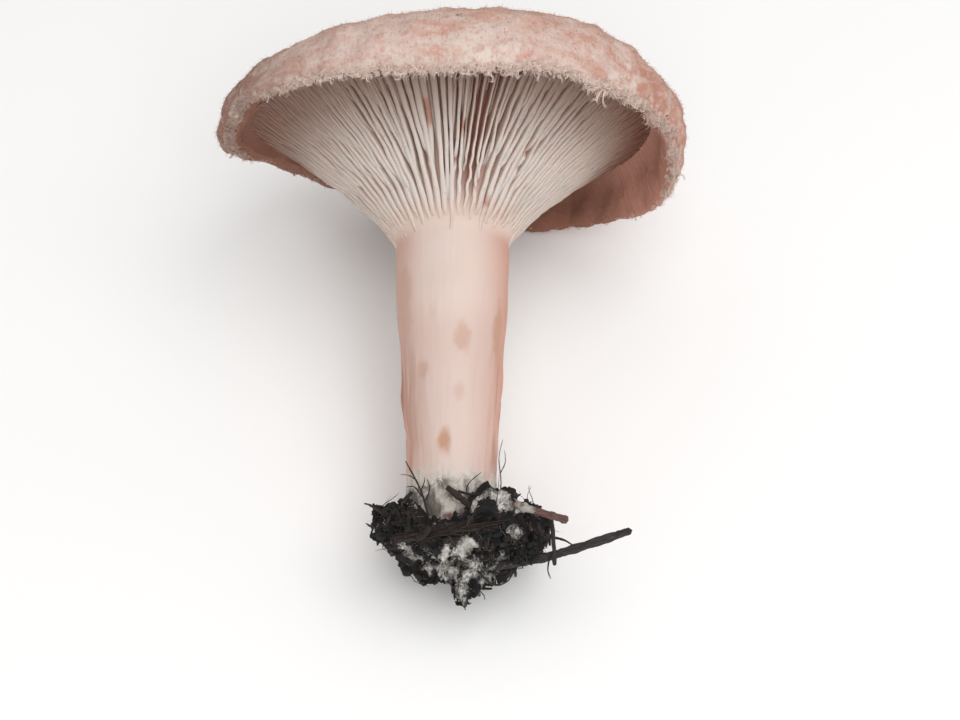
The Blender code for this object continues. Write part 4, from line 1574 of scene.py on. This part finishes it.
@dataclass
class SoilClump:
    """The soil at the foot: one lumpy mass, crumbs, leaf flakes and white threads.

    Bare places are boxes of (low, high) on each axis, patches are (x, y, z, size, whiteness), crumb
    kinds are (shape, count, smallest, largest) and heaps are (x, y, z, spread, count).
    """

    half: tuple[float, float, float] = (18.0, 18.4, 8.5)
    middle: tuple[float, float, float] = (2.4, 0.4, -67.5)
    longer: float = 0.5
    taper: float = 0.4
    lumps: float = 3.0
    grain: float = 0.14
    scoop_middle: float = -2.0
    scoop_half: float = 9.5
    scoop_depth: float = 14.0
    fineness: int = 7
    bare: tuple[tuple[tuple[float, float], ...], ...] = (
        ((-7.5, 4.5), (-99.0, -4.0), (-70.0, 0.0)),
        ((3.0, 12.0), (-99.0, -2.0), (-63.8, 0.0)),
    )
    patches: tuple[tuple[float, float, float, float, float], ...] = (
        (-1.2, -12.8, -75.3, 3.6, 1.0),
        (-2.6, -12.2, -73.4, 2.6, 0.9),
        (2.5, -12.3, -74.2, 3.2, 0.85),
        (4.5, -7.0, -76.5, 4.2, 0.5),
        (-2.6, -9.0, -74.2, 2.6, 0.9),
        (-9.2, -5.2, -71.7, 2.4, 0.7),
        (-7.5, -3.7, -73.3, 2.2, 0.6),
        (12.6, -9.2, -69.6, 2.6, 0.75),
        (14.3, -7.3, -71.9, 2.2, 0.6),
        (11.2, -5.3, -74.6, 2.4, 0.6),
        (6.0, -14.8, -64.3, 2.8, 0.7),
        (10.1, -15.0, -64.5, 3.4, 0.8),
        (15.0, -13.5, -65.0, 2.6, 0.8),
        (-2.3, -11.5, -66.6, 2.6, 0.8),
        (3.9, -6.6, -78.1, 2.8, 0.65),
        (1.9, -3.8, -80.6, 2.8, 0.6),
        (-4.4, -2.7, -76.0, 2.2, 0.5),
        (8.1, -4.7, -76.5, 2.2, 0.5),
        (-2.0, 13.0, -74.0, 5.0, 0.7),
    )
    curled_at: tuple[float, float, float] = (-13.0, -5.0, -66.0)
    curled_within: float = 6.5
    curls_there: int = 34
    curls_elsewhere: int = 22
    flake_count: int = 230
    crumb_kinds: tuple[tuple[float, int, float, float], ...] = (
        (0.3, 300, 0.6, 1.6),
        (1.7, 420, 0.4, 1.1),
        (2.9, 44, 1.6, 2.6),
    )
    heap_shape: tuple[float, float, float] = (1.2, 0.7, 1.0)
    heaps: tuple[tuple[float, float, float, float, int], ...] = (
        (15.0, -8.5, -74.0, 2.2, 70),
        (12.0, -8.5, -71.5, 2.6, 30),
        (-12.5, -5.5, -66.5, 3.4, 90),
        (8.5, -12.5, -69.0, 2.8, 60),
    )

    def shaped(self, point: np.ndarray) -> np.ndarray:
        """Narrower towards the foot's end, and scooped on the side that faces the viewer."""
        off = point - np.array(self.middle)
        down = np.clip(-off[:, 2] / self.half[2], 0, 1)
        side = 1 - self.taper * smooth(down)
        across = smooth(1 - np.abs(point[:, 0] - self.scoop_middle) / self.scoop_half)
        towards = smooth(-off[:, 1] / self.half[1]) * smooth(0.5 + off[:, 2] / self.half[2])
        height = off[:, 2] * (1 + self.longer * down) - self.scoop_depth * across * towards
        return np.array(self.middle) + np.stack([off[:, 0] * side, off[:, 1] * side, height], axis=1)

    def ball(self) -> Stock:
        """The mass, before the crumbs: a ball with the solid's lumps and finer ones."""
        Bench.clear()
        bpy.ops.mesh.primitive_ico_sphere_add(subdivisions=self.fineness, radius=1)
        ball = Bench.take(bpy.context.object)
        out = ball.points
        place = np.array(self.middle) + out * np.array(self.half)
        rough = hills(place, self.grain, gain=0.7) * self.lumps
        shape = self.shaped(place + out * rough[:, None])
        holes = np.minimum(hills(shape, 0.33, 2, 12.0), 0) * 2.4
        fine = hills(shape, 0.45, 4, 3.0) * 1.2 + np.maximum(hills(shape, 1.3, 3, 8.0), 0) * 0.7
        push = (fine + holes - 0.1)[:, None]
        return Stock(shape + out * push, ball.faces, {"white": self.whiteness(shape)})

    def whiteness(self, place: np.ndarray) -> np.ndarray:
        """How white the fungus makes each place: named patches, and others where noise puts them."""
        return np.maximum(smooth((hills(place, 0.12, 2, 20.0) - 0.1) / 0.5) * 0.6, self.patch_share(place))

    def patch_share(self, place: np.ndarray) -> np.ndarray:
        """How much of a named white patch there is at each place."""
        found = np.zeros(len(place))
        for x, y, z, size, share in self.patches:
            far = np.linalg.norm(place - np.array([x, y, z]), axis=1) / size
            found = np.maximum(found, smooth(1.5 - far) * share)
        return found

    def is_bare(self, spots: np.ndarray) -> np.ndarray:
        """True where the stem's foot shows, so that nothing is strewn there."""
        found = np.zeros(len(spots), dtype=bool)
        for box in self.bare:
            inside = [(spots[:, i] > low) & (spots[:, i] < high) for i, (low, high) in enumerate(box)]
            found |= np.all(inside, axis=0)
        return found

    def seats(
        self, surface: Stock, count: int, rng: np.random.Generator, dark: bool = False
    ) -> tuple[np.ndarray, np.ndarray]:
        """Random places on the mass and their outward directions.

        Args:
            surface: the mass.
            count: how many places.
            rng: where the choice comes from.
            dark: keeps most of the white patches free.

        Returns:
            The places and the directions.
        """
        spots = surface.points[rng.integers(0, len(surface.points), 4 * count)]
        spared = self.is_bare(spots)
        if dark:
            spared |= rng.uniform(size=len(spots)) < self.patch_share(spots) * 1.6
        spots = spots[~spared][:count]
        return spots, unit(spots - np.array(self.middle))

    def crumbs(self, surface: Stock, rng: np.random.Generator) -> Stock:
        """Angular grains of several sizes, sunk into the mass, and small heaps of them."""
        stocks = []
        for seed, count, small, large in self.crumb_kinds:
            spots, out = self.seats(surface, count, rng)
            sizes = rng.uniform(small, large, (len(spots), 1)) * rng.uniform(0.3, 1.4, (len(spots), 3))
            stocks.append(Copies(Bench.crumb(seed)).scattered(spots + out * 0.1, sizes, rng))
        for x, y, z, spread, count in self.heaps:
            spots = np.array([x, y, z]) + rng.uniform(-1, 1, (count, 3)) * spread * self.heap_shape
            sizes = rng.uniform(0.7, 2.4, (count, 1)) * rng.uniform(0.3, 1.4, (count, 3))
            stocks.append(Copies(Bench.crumb(x)).scattered(spots, sizes, rng))
        for made in stocks:
            made.marks["white"] = self.whiteness(made.points) * 0.9
        return joined(stocks)

    def flakes(self, surface: Stock, rng: np.random.Generator) -> Stock:
        """Thin bits of leaf and bark that lie on the mass or stand out of it."""
        sheet = Bench.blade(5, 3)
        spots, out = self.seats(surface, self.flake_count, rng, dark=True)
        count = len(spots)
        along = unit(np.cross(out, rng.normal(size=out.shape)))
        up = unit(out * rng.uniform(0.0, 0.6, (count, 1)) + rng.normal(0, 0.4, out.shape))
        across = unit(np.cross(along, up))
        normal = np.cross(along, across)
        flat = sheet.points - 0.5
        ragged = 1 - 0.5 * np.abs(flat[None, :, 0]) - 0.3 * rng.uniform(size=(count, len(flat)))
        length = rng.uniform(1.2, 4.2, (count, 1))
        width = rng.uniform(0.8, 2.2, (count, 1))
        curl = rng.uniform(-0.8, 0.8, (count, 1)) * (flat[None, :, 0] ** 2 + flat[None, :, 1] ** 2) * width
        thick = 0.22 * flat[None, :, 2] + curl
        points = (
            (spots + out * 0.3)[:, None]
            + along[:, None] * (flat[None, :, 0] * length)[..., None]
            + across[:, None] * (flat[None, :, 1] * width * ragged)[..., None]
            + normal[:, None] * thick[..., None]
        )
        return Copies(sheet).filled(points, {})

    def threads(
        self, surface: Stock, rng: np.random.Generator, count: int, radius: float, reach: float
    ) -> Stock:
        """Thin threads or rootlets that creep over the mass."""
        rings = 7
        spots, out = self.seats(surface, count, rng)
        count = len(spots)
        way = unit(np.cross(out, rng.normal(size=out.shape)))
        step = steps(rings)
        length = rng.uniform(0.4, 1.0, (count, 1, 1)) * reach
        bend = unit(rng.normal(size=out.shape))[:, None] * length * 0.5 * step**2
        wiggle = 0.25 * np.sin(step * rng.uniform(4, 14, (count, 1, 1)) + rng.uniform(0, 6, (count, 1, 1)))
        inwards = -out[:, None] * length * 0.22 * step**2
        lines = (spots + out * 0.2)[:, None] + way[:, None] * length * step
        lines = lines + bend + inwards + out[:, None] * wiggle
        widths = radius * rng.uniform(0.6, 1.4, (count, 1)) * np.linspace(1, 0.4, rings + 1)
        return Copies(Bench.strand(3, rings)).along(lines, widths, rng)

    def curls(self, surface: Stock, rng: np.random.Generator) -> Stock:
        """Black rotted leaf stalks and roots, curled up, mostly at the upper left of the clump."""
        rings = 16
        spots, out = self.seats(surface, 4000, rng, dark=True)
        near = np.linalg.norm(spots - np.array(self.curled_at), axis=1) < self.curled_within
        chosen = np.concatenate([np.flatnonzero(near)[: self.curls_there], np.arange(self.curls_elsewhere)])
        root, out = spots[chosen], out[chosen]
        count = len(root)
        out = unit(out + rng.normal(0, 0.35, out.shape))
        side = unit(np.cross(out, rng.normal(size=out.shape)))
        step = steps(rings)
        turns = rng.uniform(0.4, 1.3, (count, 1, 1)) * 2 * math.pi
        size = rng.uniform(0.6, 1.7, (count, 1, 1)) * (1 - 0.45 * step)
        drift = side[:, None] * step * rng.uniform(0.5, 3, (count, 1, 1))
        circle = out[:, None] * (1 - np.cos(turns * step)) + side[:, None] * np.sin(turns * step)
        lines = (root - out * 0.8)[:, None] + circle * size + drift
        lines = lines + rng.normal(0, 0.1, lines.shape)
        widths = rng.uniform(0.2, 0.5, (count, 1)) * (1 + 0.25 * rng.normal(size=(count, rings + 1)))
        widths = np.clip(widths, 0.12, 0.65)
        widths[:, -1] *= 0.4
        return Copies(Bench.strand(7, rings)).along(lines, widths, rng)

    def fibres(self, rng: np.random.Generator, line: np.ndarray, count: int) -> Stock:
        """Fibres that run along the bark strip and fray off it, from points of its line."""
        rings = 14
        strand = Bench.strand(3, rings)
        start = rng.uniform(0, 0.6, count)
        end = np.minimum(start + rng.uniform(0.2, 0.6, count), 1.0)
        place = start[:, None] + (end - start)[:, None] * np.linspace(0, 1, rings + 1)[None]
        index = np.rint(place * (len(line) - 1)).astype(int)
        lines = line[index]
        away = rng.normal(0, 1, (count, 1, 3)) * [0.5, 0.3, 0.42] + np.array([0, -0.7, -0.3])
        fray = unit(rng.normal(size=(count, 1, 3))) * steps(rings) ** 3 * 1.8
        lines = lines + away + fray + np.cumsum(rng.normal(0, 0.05, lines.shape), axis=1)
        widths = rng.uniform(0.06, 0.26, (count, 1)) * np.linspace(1, 0.4, rings + 1)
        return Copies(strand).along(lines, widths, rng)

    def build(self) -> None:
        """Makes the mass and all that is in it."""
        rng = np.random.default_rng(31)
        soil, bits = Soil(), Wood("leaf_bits", paint(16, 12, 11), paint(72, 52, 43))
        black = Wood("black_stalks", paint(12, 10, 9), paint(42, 34, 30))
        mass = self.ball()
        Piece.make("soil_mass", mass, "forest_soil", ("soil_clump",), soil)
        Piece.make("soil_crumbs", self.crumbs(mass, rng), "forest_soil", ("soil_clump",), soil)
        strewn = {
            "leaf_flakes": ("bark", self.flakes(mass, rng), bits),
            "rootlets": ("root", self.threads(mass, rng, count=120, radius=0.12, reach=7.0), black),
            "black_curls": ("root", self.curls(mass, rng), black),
        }
        for name, (slot, stock, wood) in strewn.items():
            stock.marks["grain"] = stock.points
            stock.marks["white"] = self.whiteness(stock.points) * 0.8
            Piece.make(name, stock, slot, ("soil_clump",), wood)
        white = self.threads(mass, rng, count=700, radius=0.024, reach=2.4)
        Piece.make("white_threads", white, "forest_soil", ("soil_clump",), Thread(), flat=True)


@dataclass
class Stick:
    """A twig or root: a bent tapered rod with knots and a broken end."""

    name: str
    slot: str
    points: tuple[tuple[float, float, float], ...]
    radius: float
    tip: float
    finish: Finish
    knots: float = 0.25
    sides: int = 14
    rings: int = 60
    dusty: float = 0.5

    def line(self, count: int) -> np.ndarray:
        """Points of a smooth line through the stick's own."""
        spots = np.array(self.points, dtype=float)
        spots = np.vstack([2 * spots[0] - spots[1], spots, 2 * spots[-1] - spots[-2]])
        spans = len(spots) - 3
        place = np.linspace(0, spans, count)
        first = np.minimum(place.astype(int), spans - 1)
        t = (place - first)[:, None]
        a, b, c, d = (spots[first + i] for i in range(4))
        return (2 * b + (c - a) * t + (2 * a - 5 * b + 4 * c - d) * t**2 + (3 * b - a - 3 * c + d) * t**3) / 2

    def stock(self) -> Stock:
        """The rod, knotted and uneven."""
        rng = np.random.default_rng(len(self.name))
        rod = Bench.strand(self.sides, self.rings)
        line = self.line(self.rings + 1)[None]
        step = np.linspace(0, 1, self.rings + 1)
        knot = sum(bell(step - at, 0.035) for at in rng.uniform(0.2, 0.95, 4))
        widths = self.radius * (1 + (self.tip - 1) * step) * (1 + self.knots * knot)
        widths[-1] *= 0.2
        made = Copies(rod).along(line, widths[None], rng)
        middle = line[0][np.rint(rod.points[:, 2]).astype(int)]
        off = made.points - middle
        bark = 1 + 0.16 * hills(made.points, 1.6, 3, 1.0)[:, None]
        made.points = middle + off * bark
        turn = np.arctan2(rod.points[:, 1], rod.points[:, 0])
        length = made.marks["tip"] * np.linalg.norm(np.diff(line[0], axis=0), axis=1).sum()
        made.marks["grain"] = np.stack([np.cos(turn) * 2, np.sin(turn) * 2, length], axis=1)
        made.marks["white"] = SoilClump().patch_share(made.points) * self.dusty
        return made

    def build(self) -> None:
        """Makes the stick in its node's place."""
        Piece.make(self.name + "_dressed", self.stock(), self.slot, (self.name,), self.finish)


@dataclass
class BarkStrip:
    """The strip of rotten bark across the clump: a ribbon on edge that splits into fibres."""

    stick: Stick
    width: float = 1.9
    lower: float = -0.3
    thickness: float = 1.0
    fibres: int = 70

    def stock(self) -> Stock:
        """A ribbon on edge, ragged along both long sides and grooved along its length."""
        ribbon = Bench.blade(90, 14)
        along, across, deep = ribbon.points.T
        count = 400
        line = self.stick.line(count)
        here = np.rint(along * (count - 1)).astype(int)
        middle = line[here]
        tangent = unit(np.gradient(line, axis=0))[here]
        up = np.array([0.0, 0.0, 1.0])
        out = unit(np.cross(tangent, up))
        grooves = hills(np.stack([along * 5, across * 9, 0 * deep], axis=1), 1.0, 3, 2.0)
        ragged = hills(np.stack([along * 22, np.sign(across - 0.5) * 3, 0 * deep], axis=1), 1.0, 3, 5.0)
        taper = smooth(along / 0.1 + 0.15) * smooth((1 - along) / 0.25 + 0.1)
        high = (across - 0.5) * self.width * (0.72 + 0.45 * ragged) * taper
        thick = (deep - 0.5) * self.thickness * 0.8 + grooves * 0.4
        points = middle + up * (high + self.lower)[:, None] + out * thick[:, None]
        grain = np.stack([across * 6, deep * 2, along * 26], axis=1)
        return Stock(points, ribbon.faces, {"grain": grain})

    def build(self) -> None:
        """Makes the strip in its node's place, with fibres over it."""
        rng = np.random.default_rng(8)
        Piece.make("bark_strip_dressed", self.stock(), "bark", ("bark_strip",), self.stick.finish)
        clump = SoilClump()
        fibres = clump.fibres(rng, self.stick.line(200), self.fibres)
        fibres.marks["grain"] = fibres.points
        fibres.marks["white"] = clump.whiteness(fibres.points) * 0.5
        Piece.make("bark_fibres", fibres, "bark", ("bark_strip",), self.stick.finish)


@dataclass
class Litter:
    """What is stuck in the soil. The long sticks' points are those of the solids."""

    dark: Wood = field(default_factory=lambda: Wood("dark_wood", paint(19, 15, 16), paint(84, 74, 74)))
    red: Wood = field(default_factory=lambda: Wood("red_wood", paint(64, 40, 37), paint(150, 112, 106)))
    brown: Wood = field(default_factory=lambda: Wood("rotten_bark", paint(16, 12, 11), paint(82, 62, 53)))

    def sticks(self) -> Iterator[Stick]:
        """The solids' sticks, each in its node's place."""
        long = ((9.5, -4, -75.5), (21, -7, -74), (37.5, -10, -69.4))
        yield Stick("twig_long", "dark_wood", long, 0.98, 0.8, self.dark)
        red = ((9, -12, -63), (16, -13.5, -65.8), (24.2, -13.5, -68.3))
        yield Stick("twig_red", "red_wood", red, 0.74, 1.0, self.red, dusty=1.0)
        stub = ((9, -13, -69.5), (4.5, -13.2, -65.5), (-0.9, -12.5, -60.8))
        yield Stick("twig_stub", "bark", stub, 0.68, 0.85, self.brown)
        left = ((-4.6, -12.5, -67), (-6.4, -11.5, -61), (-9.6, -8.5, -54))
        yield Stick("root_left", "root", left, 0.28, 0.4, self.dark)
        right = ((17, -6, -63), (20.5, -9, -67), (21.2, -9, -72), (21.4, -8, -76.5))
        yield Stick("root_right", "root", right, 0.55, 0.7, self.dark)

    def side_roots(self) -> dict[str, tuple[tuple[float, tuple[tuple[float, float, float], ...]], ...]]:
        """(radius, points) of the forks, loose roots and stalks, by the node that they belong to."""
        return {
            "root_left": (
                (0.18, ((-6.0, -11.6, -62.6), (-7.6, -11.6, -60.6), (-9.4, -10.2, -60.2))),
                (0.17, ((-5.4, -12.2, -64.0), (-4.4, -12.4, -61.4), (-4.9, -12.2, -59.0))),
                (0.15, ((-6.2, -11.6, -61.4), (-5.6, -11.8, -59.8), (-5.4, -11.6, -58.4))),
                (0.14, ((-7.6, -10.6, -58.6), (-8.8, -9.8, -57.6), (-10.6, -8.4, -57.0))),
            ),
            "soil_clump": (
                (0.34, ((1.5, -11.8, -61.6), (4.5, -12.3, -62.4), (8.0, -12.3, -62.0), (12.0, -11.6, -61.6))),
                (0.17, ((3.2, -11.4, -62.2), (3.6, -11.2, -59.8), (6.4, -10.6, -57.0))),
                (0.14, ((9.6, -5.2, -66.0), (10.4, -4.8, -58.0), (10.0, -3.6, -52.0), (10.9, -3.2, -47.5))),
                (0.12, ((10.3, -4.2, -55.5), (11.3, -3.6, -53.0), (11.2, -3.0, -50.0))),
                (0.26, ((5.5, -8.0, -77.5), (8.5, -9.0, -80.6), (11.5, -8.6, -80.0), (13.5, -6.5, -76.5))),
                (0.3, ((20.6, -7.0, -70.0), (23.4, -8.0, -71.0), (25.4, -8.6, -72.4))),
                (0.36, ((-13.0, -7.0, -66.0), (-16.5, -7.4, -63.6), (-18.2, -7.6, -63.0))),
                (0.32, ((-12.8, -6.6, -68.6), (-16.2, -7.0, -68.0), (-17.8, -7.4, -67.2))),
            ),
            "twig_long": ((0.2, ((20.4, -7.4, -74.4), (20.0, -8.2, -77.4), (20.6, -8.4, -79.4))),),
        }

    def build(self) -> None:
        """Makes the twigs, the roots and the strip of bark."""
        for stick in self.sticks():
            stick.build()
        number = 0
        for node, roots in self.side_roots().items():
            made = []
            for radius, points in roots:
                root = Stick(node + "i" * number, "root", points, radius, 0.4, self.dark, sides=7, rings=18)
                made.append(root.stock())
                number += 1
            Piece.make(node + "_side_roots", joined(made), "root", (node,), self.dark)
        points = ((-12.5, -13, -72), (-6, -16.5, -72), (2, -18.2, -71), (11, -16, -69))
        BarkStrip(Stick("bark_strip", "bark", points, 1, 1, self.brown)).build()


@dataclass
class Studio:
    """The pale floor, the soft light and the camera at the photograph's angle."""

    below_gills: float = math.radians(18.5)
    distance: float = 0.56
    frame_width: float = 0.2065
    aim: tuple[float, float, float] = (6.0, 0.0, -29.0)
    sensor: float = 36.0

    def floor(self) -> None:
        """A wide pale sheet under the mushroom."""
        Bench.clear()
        bpy.ops.mesh.primitive_plane_add(size=6)
        sheet = bpy.context.object
        sheet.name = "floor"
        graph = Graph("pale_floor")
        tone = graph.mix(graph.cloud(3, 2), paint(250, 250, 249), paint(254, 253, 252))
        sheet.data.materials.append(graph.surface({"Base Color": tone, "Roughness": 0.8}))
        sheet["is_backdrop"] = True

    def light(self, name: str, way: tuple[float, float, float], size: float, power: float) -> None:
        """A square soft light that shines on the mushroom from a direction."""
        data = bpy.data.lights.new(name, "AREA")
        data.size = size
        data.energy = power
        lamp = bpy.data.objects.new(name, data)
        bpy.context.scene.collection.objects.link(lamp)
        lamp.location = Vector(way)
        lamp.rotation_euler = (-Vector(way)).to_track_quat("-Z", "Y").to_euler()

    def lights(self) -> None:
        """A broad light overhead on the right, one from the viewer's side, and an even sky."""
        self.light("overhead", (0.3, -0.25, 0.95), 0.8, 4.6)
        self.light("viewer_side", (0.1, -0.8, 0.85), 0.7, 3.2)
        world = bpy.data.worlds.new("even_sky")
        world.use_nodes = True
        world.node_tree.nodes["Background"].inputs["Color"].default_value = (1, 1, 1, 1)
        world.node_tree.nodes["Background"].inputs["Strength"].default_value = 0.56
        bpy.context.scene.world = world

    def camera(self) -> None:
        """Looks up at the gills by below_gills, as the mushroom lies."""
        data = bpy.data.cameras.new("camera")
        data.sensor_width = self.sensor
        data.lens = self.sensor * self.distance / self.frame_width
        data.clip_start = 0.01
        camera = bpy.data.objects.new("camera", data)
        bpy.context.scene.collection.objects.link(camera)
        aim = Vector(LYING.place(np.array([self.aim]))[0])
        back = LYING.direction((0.0, -math.cos(self.below_gills), -math.sin(self.below_gills)))
        camera.location = aim + back * self.distance
        camera.rotation_mode = "QUATERNION"
        camera.rotation_quaternion = (-back).to_track_quat("-Z", "Y")
        bpy.context.scene.camera = camera

    def build(self) -> None:
        """Sets the stage."""
        bpy.context.scene.view_settings.view_transform = "Standard"
        self.camera()
        self.floor()
        self.lights()


def corners() -> list[list[float]]:
    """The shown object's lowest and highest corner as plain lists."""
    return [list(corner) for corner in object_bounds()]


def main() -> None:
    """Builds everything in order."""
    logging.basicConfig(level=logging.INFO, format="%(name)s: %(message)s")
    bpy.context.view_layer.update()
    Studio().build()
    body = FruitBody()
    body.build()
    Gills().build()
    RimWool(body).build()
    SoilClump().build()
    Litter().build()


if __name__ == "__main__":
    main()
